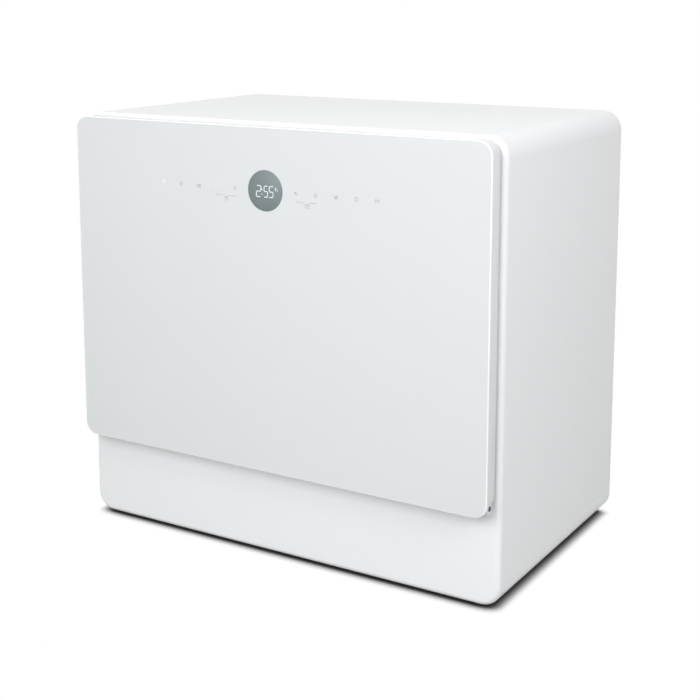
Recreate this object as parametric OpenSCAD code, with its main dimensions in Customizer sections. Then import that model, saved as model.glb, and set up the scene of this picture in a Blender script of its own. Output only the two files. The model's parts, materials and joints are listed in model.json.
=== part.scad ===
// Tabletop dishwasher with a glass drop-down door. Units are millimetres.
// x runs to the right, the door faces -y, z runs up from the floor.
// Depths inside the modules are counted from the front face of the glass.

/* [Body] */
// Overall width of the case
body_w = 484; // [476:1:500]
// Overall height from the floor to the top
body_h = 440; // [434:1:456]
// Overall depth from the glass to the back edge
body_d = 305; // [302:1:320]
// Height of the rubber feet
foot_h = 2.5; // [2:0.5:4]
// Outer corner radius of the case
corner_r = 20; // [18:0.5:22]
// Wall thickness of the case
case_t = 2.5; // [2:0.1:3]
// Width of the rounded front rim
rim_w = 5; // [4.5:0.5:5.5]
// Distance of the frame face behind the glass face
face_q = 20.5; // [20.5:0.5:22]

/* [Door] */
// Thickness of the front glass
glass_t = 4; // [3:0.5:4.5]
// Height of the lower glass edge above the floor
glass_z = 95; // [92:1:98]
// Corner radius of the glass
glass_r = 14; // [12:1:16]
// Gap between the glass edge and the side of the case
door_gap = 5; // [4:0.5:6]
// Radius of the two hinge pins
pin_r = 2.5; // [2:0.1:2.6]
// Radial play of every turning fit
play = 0.08; // [0.05:0.01:0.1]
// Radius of the round display
display_r = 20; // [16:1:22]

/* [Tub and rack] */
// Sheet thickness of the tub and of the door liner
tub_t = 1; // [0.8:0.1:1.2]
// Inner corner radius of the tub
tub_r = 14; // [12:1:16]
// Radius of the rack wire
wire_r = 1.75; // [1.5:0.05:2]
// Height of the rack from its floor to its top rim
rack_h = 86; // [80:1:100]
// Radius of the rack wheels
wheel_r = 10; // [9:0.5:10]
// Length of each spray arm wing from the middle
arm_r = 98; // [85:1:100]
// Number of plate spines in each row
spines = 6; // [4:1:6]

/* [Look of the preview] */
// Colour of the outer shell
shell_color = "white"; // [white, gainsboro, lightgrey]

/* [Hidden] */
$fn = 64;
e = 0.01;
hw = body_w / 2;
hh = (body_h - foot_h) / 2;
case_zc = foot_h + hh;
back_q = body_d;
cover_q = back_q - 4.5;
glass_hw = hw - door_gap;
glass_top = body_h - 2.5;
hinge_q = 12;
hinge_z = glass_z + 7;
// frame opening
open_hw = hw - rim_w - 11;
open_z0 = hinge_z + 5;
open_z1 = body_h - rim_w - 11;
open_r = tub_r + 6;
// tub, inside measures
tub_hw = open_hw - 9;
tub_z0 = open_z0 + 9;
tub_z1 = open_z1 - 9;
tub_q0 = 40;
tub_q1 = back_q - 31;
tub_hh = (tub_z1 - tub_z0) / 2;
tub_zc = (tub_z1 + tub_z0) / 2;
under = tub_z0 - tub_t;
// door liner
liner_q = 34;
liner_hw = open_hw - 3;
liner_z0 = open_z0 + 3;
liner_z1 = open_z1 - 3;
liner_r = open_r - 3;
liner_zc = (liner_z0 + liner_z1) / 2;
liner_hh = (liner_z1 - liner_z0) / 2;
dish_hw = liner_hw - 13;
dish_hh = liner_hh - 13;
dish_q = 24;
frame_back = 18.5;
disp_z = body_h - 63.6;
key_x = display_r + 15.2;
key_step = 22;
// base
tray_z = foot_h + case_t;
floor_z = tray_z + 2.5;
// washing parts, placed around the middle of the tub
mid_q = (tub_q0 + tub_q1) / 2;
sump_x = 35;
sump_r = 68;
sump_bot = under - 53;
cup_x = 74;
cup_r = 26;
riser_r = 9;
arm_z = tub_z0 + 10;
pump_x = sump_x - sump_r - 79;
pump_z = under - 38.5;
pump_q = mid_q - 8;
low_z = floor_z + 28;
heat_q = mid_q + 78;
drain_q = mid_q + 20;
drain_z = under - 41;
drain_x = sump_x + sump_r + 36;
salt_x = 160;
salt_q = tub_q0 + 64;
float_x = -150;
float_q = tub_q0 + 36;
valve_x = -(tub_hw - 42);
valve_z = 70;
// rack
rail_z = tub_z0 + 9.5;
wheel_z = rail_z + 0.3 + wheel_r;
rack_z = tub_z0 + 32;
rack_hw = tub_hw - 21;
rack_q0 = tub_q0 + 24;
rack_q1 = tub_q1 - 14;
rack_top = rack_z + rack_h;
cross_z = rack_z + wire_r;
floor_r = wire_r - 0.05;
stub_z = rack_z + 6.5;
rim_r = 2.5;
rack_step = (rack_q1 - rack_q0 - 12) / 6;
wheel_q0 = rack_q0 + 6 + 2 * rack_step;
wheel_q1 = rack_q1 - 6;
wheel_x = rack_hw + 9;
bask_x0 = rack_hw - 84;
bask_x1 = rack_hw - 8;
bask_q0 = rack_q0 + 16;
bask_q1 = rack_q1 - 14;
bask_z = rack_z + wire_r * 3.6 + 0.3;
bask_h = 98;
shelf_x = -(rack_hw - 7);
shelf_z = rack_top + 4;
shelf_w = 68;
// latch
tongue_z = open_z1 + 3.2;
roller_q = tub_q0 + 8;
support_x = hw - 16;

// ---------- helpers ----------

// Moves depths counted from the glass face into the part's frame.
module front() {
    translate([0, -body_d / 2, 0]) children();
}

// Box between two corner points.
module block(x0, x1, q0, q1, z0, z1) {
    translate([x0, q0, z0]) cube([x1 - x0, q1 - q0, z1 - z0]);
}

// Cylinder along x, y or z from a start point.
module rod_x(x0, x1, q, z, r) {
    translate([x0, q, z]) rotate([0, 90, 0]) cylinder(h = x1 - x0, r = r);
}

module rod_y(x, q0, q1, z, r) {
    translate([x, q0, z]) rotate([-90, 0, 0]) cylinder(h = q1 - q0, r = r);
}

module rod_z(x, q, z0, z1, r) {
    translate([x, q, z0]) cylinder(h = z1 - z0, r = r);
}

// Rounded rectangle with true arcs.
module round_rect(a, b, r) {
    square([2 * a, 2 * (b - r)], center = true);
    square([2 * (a - r), 2 * b], center = true);
    for (i = [-1, 1], j = [-1, 1])
        translate([i * (a - r), j * (b - r)]) circle(r = r);
}

// Upright plate from depth q0 to q1, half sizes a and b, middle height zc.
module plate(a, b, r, zc, q0, q1) {
    translate([0, q0, zc]) rotate([-90, 0, 0]) linear_extrude(q1 - q0) round_rect(a, b, r);
}

// Sweeps a profile round an upright rounded rectangle. The profile's x is the
// distance outside the path and its y is the depth.
module ring(a, b, r, zc) {
    translate([0, 0, zc]) {
        for (m = [0, 1])
            mirror([m, 0, 0]) translate([a, 0, -(b - r)]) linear_extrude(2 * (b - r)) children();
        for (s = [-90, 90])
            rotate([0, s, 0]) translate([b, 0, -(a - r)]) linear_extrude(2 * (a - r)) children();
        corner(a - r, -(b - r), 0, r) children();
        corner(-(a - r), -(b - r), 90, r) children();
        corner(-(a - r), b - r, 180, r) children();
        corner(a - r, b - r, 270, r) children();
    }
}

module corner(x, z, turn, r) {
    translate([x, 0, z]) rotate([-90, 0, 0]) rotate([0, 0, turn])
        rotate_extrude(angle = 90) translate([r, 0]) children();
}

// Pipe along y or x with a wall.
module pipe_y(x, q0, q1, z, r, bore) {
    difference() {
        rod_y(x, q0, q1, z, r);
        rod_y(x, q0 - 1, q1 + 1, z, bore);
    }
}

module pipe_x(x0, x1, q, z, r, bore) {
    difference() {
        rod_x(x0, x1, q, z, r);
        rod_x(x0 - 1, x1 + 1, q, z, bore);
    }
}

// Quarter bend of a pipe, turned about its own z axis.
module elbow(bend, r, bore) {
    rotate_extrude(angle = 90) translate([bend, 0]) difference() {
        circle(r = r);
        circle(r = bore);
    }
}

// ---------- enclosure ----------

module outer_case() {
    color(shell_color) front() difference() {
        ring(hw, hh, corner_r, case_zc) {
            union() {
                translate([-case_t, face_q + rim_w]) square([case_t, back_q - face_q - rim_w]);
                translate([-rim_w, face_q + rim_w]) square([rim_w, 4]);
                intersection() {
                    translate([-rim_w, face_q + rim_w]) circle(r = rim_w);
                    translate([-rim_w, face_q]) square([rim_w, rim_w]);
                }
            }
        }
        // service opening in the floor and holes for the feet
        block(-(hw - 57), hw - 57, 44, back_q - 17, foot_h - 1, tray_z + 1);
        for (i = [-1, 1], q = [52, back_q - 26])
            rod_z(i * (hw - 38), q, foot_h - 1, tray_z + 1, 5);
    }
}

module front_frame() {
    fa = hw - rim_w;
    fb = hh - rim_w;
    fr = corner_r - rim_w;
    color(shell_color) front() difference() {
        union() {
            difference() {
                plate(fa, fb, fr, case_zc, face_q, face_q + 3);
                plate(open_hw, (open_z1 - open_z0) / 2, open_r, (open_z1 + open_z0) / 2,
                    face_q - 1, face_q + 4);
            }
            ring(fa, fb, fr, case_zc) translate([-2.5, face_q + 2]) square([2, rim_w + 2]);
            ring(open_hw, (open_z1 - open_z0) / 2, open_r, (open_z1 + open_z0) / 2)
                translate([0.5, face_q + 1]) square([2, tub_q0 - face_q - 1]);
        }
        // passages for the hinge arms and the latch tongue
        for (i = [-1, 1])
            translate([i * (hw - 12.5), 0, 0]) block(-2.5, 2.5, 0, tub_q0 + 1, hinge_z - 5.5,
                hinge_z + 5.5);
        block(-10.5, 10.5, 0, 30, tongue_z - 1, tongue_z + 6);
    }
}

module base_tray() {
    ta = hw - corner_r;
    color("dimgray") front() difference() {
        union() {
            block(-ta, ta, 30, cover_q - 9, tray_z, floor_z);
            block(-ta + 5, -ta + 7, 30, cover_q - 9, tray_z, tray_z + 16);
            block(ta - 7, ta - 5, 30, cover_q - 9, tray_z, tray_z + 16);
            block(-ta + 5, ta - 5, 30, 32, tray_z, tray_z + 16);
            block(-ta + 5, ta - 5, cover_q - 11, cover_q - 9, tray_z, tray_z + 16);
            // saddles under the pumps and the heater
            block(pump_x - 60, pump_x - 52, pump_q - 22, pump_q + 22, floor_z - e, pump_z - 20);
            block(pump_x - 18, pump_x - 10, pump_q - 22, pump_q + 22, floor_z - e, pump_z - 20);
            block(-58, -50, heat_q - 14, heat_q + 14, floor_z - e, low_z - 6);
            block(drain_x + 31, drain_x + 39, drain_q - 14, drain_q + 14, floor_z - e, drain_z - 10);
            // stiffening ribs
            for (x = [-40, 60, 110])
                block(x, x + 2, 36, 96, floor_z - e, floor_z + 8);
        }
        rod_x(pump_x - 68, pump_x + 2, pump_q, pump_z, 34);
        rod_x(-70, -40, heat_q, low_z, 20);
        rod_x(drain_x + 21, drain_x + 51, drain_q, drain_z, 18);
    }
}

module back_cover() {
    ca = hw - case_t;
    cb = hh - case_t;
    cr = corner_r - case_t;
    color("gainsboro") front() difference() {
        union() {
            plate(ca, cb, cr, case_zc, cover_q, cover_q + 3);
            ring(ca, cb, cr, case_zc) translate([-2.5, cover_q - 8]) square([2, 9]);
        }
        pocket_hole(valve_x, valve_z);
        pocket_hole(drain_x, drain_z + 12);
        block(-64, -36, cover_q - 10, cover_q + 5, 46, 66);
        // vents
        for (k = [0:9])
            block(-60, 60, cover_q - 1, cover_q + 5, 300 + k * 9, 304 + k * 9);
    }
}

// Recessed trays for the two water connections, let into the cover.
module back_pockets() {
    color("gainsboro") front() difference() {
        union() {
            pocket_wall(valve_x, valve_z, 37);
            pocket_wall(drain_x, drain_z + 12, 37);
        }
        pocket_room(valve_x, valve_z, 35);
        pocket_room(drain_x, drain_z + 12, 35);
        rod_y(valve_x, cover_q - 30, cover_q, valve_z, 14);
        rod_y(drain_x, cover_q - 30, cover_q, drain_z + 12, 11);
    }
}

module pocket_hole(x, z) {
    block(x - 37, x + 37, cover_q - 1, cover_q + 5, z - 37, z + 37);
}

module pocket_wall(x, z, a) {
    block(x - a, x + a, cover_q - 21, cover_q + 3, z - a, z + a);
}

module pocket_room(x, z, a) {
    block(x - a, x + a, cover_q - 19, cover_q + 5, z - a, z + a);
}

module feet() {
    color("black") front() for (i = [-1, 1], q = [52, back_q - 26]) {
        rod_z(i * (hw - 38), q, 0, foot_h, 12);
        rod_z(i * (hw - 38), q, foot_h - e, tray_z, 5);
    }
}

// Three flat felt sheets: one over the tub and one on each side.
module sound_mat() {
    ma = tub_hw + tub_t;
    mq0 = tub_q0 + 52;
    mq1 = tub_q1 - 6;
    color("darkslategray") front() {
        block(-ma + tub_r, ma - tub_r, mq0, mq1, tub_z1 + tub_t, tub_z1 + tub_t + 3);
        block(ma, ma + 3, mq0, mq1, tub_z0 + 26, tub_z1 - tub_r);
        difference() {
            block(-ma - 3, -ma, mq0, mq1, tub_z0 + 26, tub_z1 - tub_r);
            rod_x(-hw, -tub_hw + 5, mid_q + 46, tub_z1 - 112, 10);
        }
    }
}

module side_supports() {
    color("silver") front() for (m = [0, 1]) mirror([m, 0, 0]) difference() {
        union() {
            block(support_x, support_x + 2, 48, tub_q1 - 26, floor_z, under);
            block(support_x - 26, support_x + 1, 48, tub_q1 - 26, under - 2, under);
            block(hw - corner_r - 4, support_x + 1, 48, tub_q1 - 26, floor_z, floor_z + 2);
        }
        for (k = [0:2])
            rod_x(support_x - 1, support_x + 3, 110 + k * 44, (floor_z + under) / 2, 15);
    }
}

module door_hinges() {
    color("silver") front() for (m = [0, 1]) mirror([m, 0, 0]) {
        block(support_x + 2, support_x + 5, hinge_q, 76, hinge_z - 4, hinge_z + 4);
        rod_x(support_x + 2, support_x + 5, hinge_q, hinge_z, 4 + e);
        block(support_x + 2, support_x + 5, 50, 76, hinge_z - 60, hinge_z + 1);
        rod_x(support_x - 5, support_x + 9, hinge_q, hinge_z, pin_r);
    }
}

module back_screws() {
    color("silver") front() for (i = [-1, 1], z = [130, 240, body_h - 30])
        difference() {
            rod_y(i * (hw - 16), cover_q + 3, cover_q + 4.5, z, 3.5);
            block(i * (hw - 16) - 2.5, i * (hw - 16) + 2.5, cover_q + 4, cover_q + 6, z - 0.4,
                z + 0.4);
            block(i * (hw - 16) - 0.4, i * (hw - 16) + 0.4, cover_q + 4, cover_q + 6, z - 2.5,
                z + 2.5);
        }
}

// ---------- tub ----------

module tub() {
    color("silver") front() difference() {
        union() {
            plate(tub_hw + tub_t, tub_hh + tub_t, tub_r + tub_t, tub_zc, tub_q0, tub_q1);
            plate(tub_hw + 10, tub_hh + 10, tub_r + 6, tub_zc, tub_q0, tub_q0 + tub_t);
        }
        plate(tub_hw, tub_hh, tub_r, tub_zc, tub_q0 - 1, tub_q1 + 1);
        rod_z(sump_x, mid_q, under - 1, tub_z0 + 1, sump_r + 2);
        rod_z(salt_x, salt_q, under - 1, tub_z0 + 1, 19);
        rod_z(float_x, float_q, under - 1, tub_z0 + 1, 12);
        rod_x(-tub_hw - 3, -tub_hw + 3, mid_q + 46, tub_z1 - 112, 8);
    }
}

// Pressed back wall, seamed to the tub.
module tub_back() {
    color("silver") front()
        plate(tub_hw + tub_t, tub_hh + tub_t, tub_r + tub_t, tub_zc, tub_q1, tub_q1 + tub_t);
}

module tub_gasket() {
    color("dimgray") front() ring(tub_hw + tub_t, tub_hh + tub_t, tub_r + tub_t, tub_zc)
        union() {
            translate([0, liner_q + 3]) square([4.5, tub_q0 - liner_q - 3]);
            translate([2.25, liner_q + 2.4]) circle(r = 2);
        }
}

module rails() {
    color("whitesmoke") front() for (m = [0, 1]) mirror([m, 0, 0]) intersection() {
        block(rack_hw + 4, rack_hw + 18, tub_q0 + 4, tub_q1 - 2, tub_z0 - 1, rail_z);
        plate(tub_hw, tub_hh, tub_r, tub_zc, tub_q0, tub_q1);
    }
}

module sump() {
    color("gray") front() difference() {
        union() {
            rod_z(sump_x, mid_q, under - 4, under, sump_r + 10);
            rod_z(sump_x, mid_q, sump_bot, under - 3, sump_r);
            rod_x(pump_x + 60, sump_x, pump_q, pump_z, 13);
            rod_x(sump_x, drain_x - 21, drain_q, drain_z, 10);
        }
        rod_z(sump_x, mid_q, sump_bot + 2.5, under + 1, sump_r - 2.5);
        rod_x(pump_x + 58, sump_x, pump_q, pump_z, 10.5);
        rod_x(sump_x, drain_x - 19, drain_q, drain_z, 8);
        rod_z(0, mid_q, sump_bot - 1, sump_bot + 4, riser_r);
    }
}

module filter_plate() {
    color("silver") front() difference() {
        rod_z(sump_x, mid_q, tub_z0, tub_z0 + 1.2, sump_r + 5);
        rod_z(0, mid_q, tub_z0 - 1, tub_z0 + 3, riser_r);
        rod_z(cup_x, mid_q, tub_z0 - 1, tub_z0 + 3, cup_r + 0.5);
        for (k = [0:23])
            translate([sump_x, mid_q, tub_z0 - 1]) rotate([0, 0, k * 15 + 7])
                translate([sump_r - 6, 0, 0]) cylinder(h = 4, r = 2, $fn = 6);
        for (k = [4:13])
            translate([sump_x, mid_q, tub_z0 - 1]) rotate([0, 0, k * 20])
                translate([sump_r - 16, 0, 0]) cylinder(h = 4, r = 2, $fn = 6);
    }
}

module filter_cup() {
    z0 = tub_z0 - 36;
    z1 = tub_z0 + 1.6;
    color("darkgray") front() difference() {
        union() {
            rod_z(cup_x, mid_q, z0, z1, cup_r);
            rod_z(cup_x, mid_q, z1 - e, z1 + 1.6, cup_r + 3);
            block(cup_x - cup_r - 1, cup_x + cup_r + 1, mid_q - 2, mid_q + 2, z1, z1 + 6);
        }
        difference() {
            rod_z(cup_x, mid_q, z0 + 1.5, z1 + 3, cup_r - 1.5);
            block(cup_x - cup_r - 1, cup_x + cup_r + 1, mid_q - 2, mid_q + 2, z1, z1 + 6);
        }
        for (k = [0:7])
            translate([cup_x, mid_q, 0]) rotate([0, 0, 22.5 + k * 45])
                block(cup_r - 5, cup_r + 2, -4, 4, z0 + 7, z1 - 9);
    }
}

module spray_riser() {
    color("lightgray") front() difference() {
        union() {
            rod_z(0, mid_q, low_z + 15, arm_z + 13, riser_r);
            rod_z(0, mid_q, sump_bot - 3, sump_bot, riser_r + 4);
            rod_z(0, mid_q, tub_z0 + 1.2, tub_z0 + 3.4, riser_r + 3);
            // threaded post of the nut
            rod_z(0, mid_q, arm_z + 12, arm_z + 16.5, 5);
        }
        rod_z(0, mid_q, low_z + 14, arm_z + 10, riser_r - 2);
        for (a = [0, 90])
            translate([0, mid_q, arm_z + 5]) rotate([0, 0, a])
                block(-12, 12, -3, 3, -3, 3);
    }
}

module spray_arm() {
    z0 = arm_z;
    z1 = arm_z + 10;
    color("silver") front() translate([0, mid_q, 0]) difference() {
        union() {
            block(-arm_r + 14, arm_r - 14, -14, 14, z0, z1);
            rod_z(-arm_r + 14, 0, z0, z1, 14);
            rod_z(arm_r - 14, 0, z0, z1, 14);
            rod_z(0, 0, z0 - 5, z0 + 12, 17);
        }
        rod_z(0, 0, z0 - 6, z0 + 13, riser_r + play);
        block(-arm_r + 14, arm_r - 14, -11.5, 11.5, z0 + 2, z1 - 2);
        // jets
        for (i = [-1, 1], d = [30, 46, 62, 78])
            rod_z(i * d, (d > 50 ? 5 : -5) * i, z1 - 4, z1 + 1, 1.6);
    }
}

module arm_nut() {
    color("darkgray") front() difference() {
        union() {
            rod_z(0, mid_q, arm_z + 13, arm_z + 16.5, 12);
            for (a = [0:60:300])
                translate([0, mid_q, arm_z + 13]) rotate([0, 0, a]) translate([11.5, 0, 0])
                    cylinder(h = 3.5, r = 2.2, $fn = 12);
        }
        rod_z(0, mid_q, arm_z + 12, arm_z + 18, 5);
    }
}

module float_guide() {
    color("lightgray") front() difference() {
        union() {
            rod_z(float_x, float_q, under - 24, tub_z0 + 6, 12);
            rod_z(float_x, float_q, tub_z0, tub_z0 + 1.5, 17);
            block(float_x - 14, float_x + 14, float_q - 9, float_q + 9, under - 38, under - 22);
        }
        rod_z(float_x, float_q, under - 20, tub_z0 + 8, 10);
        rod_z(float_x, float_q, under - 30, under - 19, 3);
    }
}

module float() {
    color("white") front() {
        rod_z(float_x, float_q, under - 6, tub_z0 + 9, 9.5);
        rod_z(float_x, float_q, under - 19.5, under - 5, 2.5);
        rod_z(float_x, float_q, tub_z0 + 9 - e, tub_z0 + 11, 7.5);
    }
}

module salt_container() {
    color("whitesmoke") front() difference() {
        union() {
            block(salt_x - 34, salt_x + 32, salt_q - 40, salt_q + 36, under - 72, under - 4);
            rod_z(salt_x, salt_q, under - 5, under, 27);
            rod_z(salt_x, salt_q, under - 5, tub_z0 + 3, 19);
        }
        block(salt_x - 31, salt_x + 29, salt_q - 37, salt_q + 33, under - 69, under - 7);
        rod_z(salt_x, salt_q, under - 10, tub_z0 + 5, 16 + play);
    }
}

module salt_cap() {
    color("lightgray") front() difference() {
        union() {
            rod_z(salt_x, salt_q, tub_z0 + 3.4, tub_z0 + 7.4, 22);
            rod_z(salt_x, salt_q, under - 4, tub_z0 + 4, 16);
            block(salt_x - 18, salt_x + 18, salt_q - 2.5, salt_q + 2.5, tub_z0 + 7, tub_z0 + 12.5);
        }
        rod_z(salt_x, salt_q, under - 5, tub_z0 + 2, 13);
    }
}

// ---------- water and power parts in the base ----------

module pump_housing() {
    color("gray") front() difference() {
        union() {
            rod_x(pump_x, pump_x + 30, pump_q, pump_z, 38);
            rod_x(pump_x + 29, pump_x + 50, pump_q, pump_z, 13);
            rod_y(pump_x + 15, pump_q - 8, pump_q + 50, low_z, 11);
        }
        rod_x(pump_x + 4, pump_x + 26, pump_q, pump_z, 34);
        rod_x(pump_x + 25, pump_x + 51, pump_q, pump_z, 10.5);
        rod_y(pump_x + 15, pump_q + 4, pump_q + 52, low_z, 8.5);
        rod_x(pump_x - 1, pump_x + 5, pump_q, pump_z, 6);
    }
}

module pump_motor() {
    color("dimgray") front() difference() {
        union() {
            rod_x(pump_x - 72, pump_x, pump_q, pump_z, 34);
            rod_x(pump_x - 78, pump_x - 71, pump_q, pump_z, 12);
        }
        rod_x(pump_x - 79, pump_x + 1, pump_q, pump_z, 5 + play);
        for (k = [0:5])
            translate([0, pump_q, pump_z]) rotate([k * 60, 0, 0])
                block(pump_x - 64, pump_x - 8, -3, 3, 30, 36);
    }
}

module pump_impeller() {
    color("steelblue") front() {
        rod_x(pump_x - 74, pump_x + 20, pump_q, pump_z, 5);
        rod_x(pump_x + 7, pump_x + 10, pump_q, pump_z, 31);
        for (k = [0:5])
            translate([0, pump_q, pump_z]) rotate([k * 60, 0, 0])
                block(pump_x + 9, pump_x + 22, -1.2, 1.2, 4, 30);
    }
}

module drain_pump() {
    color("gray") front() difference() {
        union() {
            rod_x(drain_x - 11, drain_x + 13, drain_q, drain_z, 25);
            rod_x(drain_x - 31, drain_x - 10, drain_q, drain_z, 12.5);
            rod_y(drain_x, drain_q + 5, drain_q + 45, drain_z + 12, 9);
            rod_x(drain_x + 13 - e, drain_x + 61, drain_q, drain_z, 18);
        }
        rod_x(drain_x - 8, drain_x + 10, drain_q, drain_z, 22);
        rod_x(drain_x - 32, drain_x - 7, drain_q, drain_z, 10);
        rod_y(drain_x, drain_q + 5, drain_q + 47, drain_z + 12, 6.5);
        rod_x(drain_x + 9, drain_x + 51, drain_q, drain_z, 4 + play);
    }
}

module drain_impeller() {
    color("steelblue") front() {
        rod_x(drain_x - 4, drain_x + 47, drain_q, drain_z, 4);
        for (k = [0:3])
            translate([0, drain_q, drain_z]) rotate([k * 90 + 45, 0, 0])
                block(drain_x - 5, drain_x + 8, -1, 1, 3, 19);
    }
}

module heater() {
    color("silver") front() difference() {
        union() {
            rod_x(-66, -30, heat_q, low_z, 20);
            rod_x(-74.5, -20.5, heat_q, low_z, 11);
            block(-60, -52, heat_q - 3, heat_q + 3, low_z + 18, low_z + 28);
            block(-44, -36, heat_q - 3, heat_q + 3, low_z + 18, low_z + 28);
        }
        rod_x(-63, -33, heat_q, low_z, 18);
        rod_x(-77, -19, heat_q, low_z, 8.5);
    }
}

module base_hoses() {
    color("black") front() {
        pump_inlet_hose();
        heater_hose();
        riser_hose();
    }
}

module pump_inlet_hose() {
    pipe_x(pump_x + 38, sump_x - sump_r - 9, pump_q, pump_z, 15.5, 13);
}

module heater_hose() {
    // from the pump outlet round a bend into the heater
    qa = pump_q + 42;
    qb = heat_q - 22;
    pipe_y(pump_x + 15, qa, qb, low_z, 13.5, 11);
    translate([pump_x + 37, qb, low_z]) rotate([0, 0, 90]) elbow(22, 13.5, 11);
    pipe_x(pump_x + 37, -68, heat_q, low_z, 13.5, 11);
}

module riser_hose() {
    // from the heater round two bends into the foot of the riser
    pipe_x(-26, -20, heat_q, low_z, 13.5, 11);
    translate([-20, heat_q - 20, low_z]) elbow(20, 13.5, 11);
    pipe_y(0, mid_q + 15, heat_q - 20, low_z, 13.5, 11);
    translate([0, mid_q + 15, low_z + 15]) rotate([0, 90, 0]) rotate([0, 0, -90])
        elbow(15, 13.5, 11);
    difference() {
        rod_z(0, mid_q, low_z + 15, sump_bot - 3, 13.5);
        rod_z(0, mid_q, low_z + 14, sump_bot, riser_r);
    }
}

module drain_hose() {
    color("black") front() pipe_y(drain_x, drain_q + 36, cover_q - 24, drain_z + 12, 11.5, 9);
}

module drain_spigot() {
    z = drain_z + 12;
    color("whitesmoke") front() difference() {
        union() {
            rod_y(drain_x, cover_q - 34, cover_q + 1.5, z, 9);
            rod_y(drain_x, cover_q - 19, cover_q - 16.5, z, 15);
            rod_y(drain_x, cover_q - 22.5, cover_q - 18, z, 11);
        }
        rod_y(drain_x, cover_q - 36, cover_q + 4, z, 7);
    }
}

module inlet_valve() {
    color("whitesmoke") front() difference() {
        union() {
            rod_y(valve_x, cover_q - 50, cover_q - 18, valve_z, 14);
            rod_y(valve_x, cover_q - 24, cover_q - 21, valve_z, 18);
            rod_y(valve_x, cover_q - 19, cover_q - 16.5, valve_z, 18);
            rod_y(valve_x, cover_q - 17, cover_q + 1.5, valve_z, 13.2);
            block(valve_x - 15, valve_x + 15, cover_q - 50, cover_q - 26, valve_z + 8, valve_z + 36);
            rod_x(valve_x - 36, valve_x, cover_q - 40, valve_z, 6);
        }
        rod_y(valve_x, cover_q - 12, cover_q + 3, valve_z, 9.5);
        rod_x(valve_x - 37, valve_x - 5, cover_q - 40, valve_z, 4);
        for (k = [0:3])
            translate([0, cover_q - 11 + k * 3, 0]) thread_cut();
    }
}

module thread_cut() {
    translate([valve_x, 0, valve_z]) rotate([-90, 0, 0]) difference() {
        cylinder(h = 1, r = 15);
        translate([0, 0, -1]) cylinder(h = 3, r = 12.6);
    }
}

module fill_hose() {
    hx = valve_x - 40;
    q = cover_q - 40;
    color("whitesmoke") front() {
        pipe_x(hx, valve_x - 22, q, valve_z, 8, 6);
        translate([hx, q, valve_z + 14]) rotate([90, 0, 0]) rotate([0, 0, 180]) elbow(14, 8, 6);
        difference() {
            rod_z(hx - 14, q, valve_z + 14, tub_z0 + 90, 8);
            rod_z(hx - 14, q, valve_z + 13, tub_z0 + 91, 6);
        }
    }
}

module air_break() {
    hx = valve_x - 54;
    q = cover_q - 40;
    x1 = -(tub_hw + tub_t + 3);
    color("whitesmoke") front() difference() {
        union() {
            block(x1 - 14, x1, mid_q, q + 8, tub_z0 + 92, tub_z1 - 30);
            rod_z(hx, q, tub_z0 + 78, tub_z0 + 93, 6);
            rod_x(x1 - 1, -tub_hw + 1, mid_q + 46, tub_z1 - 112, 8);
        }
        block(x1 - 12, x1 - 2, mid_q + 2, q + 6, tub_z0 + 94, tub_z1 - 32);
        rod_z(hx, q, tub_z0 + 77, tub_z0 + 95, 4);
        rod_x(x1 - 3, -tub_hw + 2, mid_q + 46, tub_z1 - 112, 6);
    }
}

module power_module() {
    color("ivory") front() {
        difference() {
            block(-190, -84, 44, 96, floor_z, floor_z + 34);
            block(-188, -86, 46, 94, floor_z + 2, floor_z + 32);
        }
        block(-188, -86, 46, 94, floor_z + 8, floor_z + 9.6);
        block(-180, -160, 56, 84, floor_z + 9, floor_z + 26);
        block(-140, -122, 52, 72, floor_z + 9, floor_z + 22);
        for (k = [0:3])
            block(-184 + k * 14, -176 + k * 14, 95, 101, floor_z + 12, floor_z + 24);
    }
}

module power_inlet() {
    color("black") front() {
        difference() {
            union() {
                block(-63.8, -36.2, cover_q - 16, cover_q + 3.5, 46.2, 65.8);
                block(-68, -32, cover_q + 3, cover_q + 4.4, 44, 68);
            }
            block(-61.5, -38.5, cover_q - 13, cover_q + 5, 48.5, 63.5);
        }
        for (k = [-1:1])
            block(-51 + k * 6, -49 + k * 6, cover_q - 14, cover_q + 1, 54 - abs(k) * 2,
                59 - abs(k) * 2);
    }
}

// ---------- latch ----------

module lock_housing() {
    z0 = tub_z1 + tub_t;
    color("dimgray") front() difference() {
        block(-24, 24, tub_q0 + 1.5, tub_q0 + 44, z0, body_h - case_t - 0.5);
        block(-11, 11, tub_q0, tub_q0 + 14, z0 + 1.5, tongue_z + 6);
        rod_x(-16, 16, roller_q, tongue_z - 4.4, 1.5);
    }
}

module catch_roller() {
    color("white") front() difference() {
        union() {
            rod_x(-9.5, 9.5, roller_q, tongue_z - 4.4, 4);
            rod_x(-15.5, 15.5, roller_q, tongue_z - 4.4, 1.5 - play);
        }
    }
}

module door_tongue() {
    color("silver") front() difference() {
        union() {
            block(-8.5, 8.5, frame_back, tub_q0 + 10, tongue_z, tongue_z + 3);
            block(-14, 14, frame_back, frame_back + 1.2, tongue_z - 2, tongue_z + 5);
        }
        block(-4, 4, tub_q0 - 8, tub_q0 - 2, tongue_z - 1, tongue_z + 4);
    }
}

// ---------- door ----------

module door_glass() {
    zc = (glass_z + glass_top) / 2;
    zh = (glass_top - glass_z) / 2;
    color("white") front() difference() {
        plate(glass_hw, zh, glass_r, zc, 0, glass_t);
        ring(glass_hw, zh, glass_r, zc)
            polygon([[-0.8, -1], [1, -1], [1, 0.8], [0, 0.8], [-0.8, 0]]);
    }
}

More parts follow.
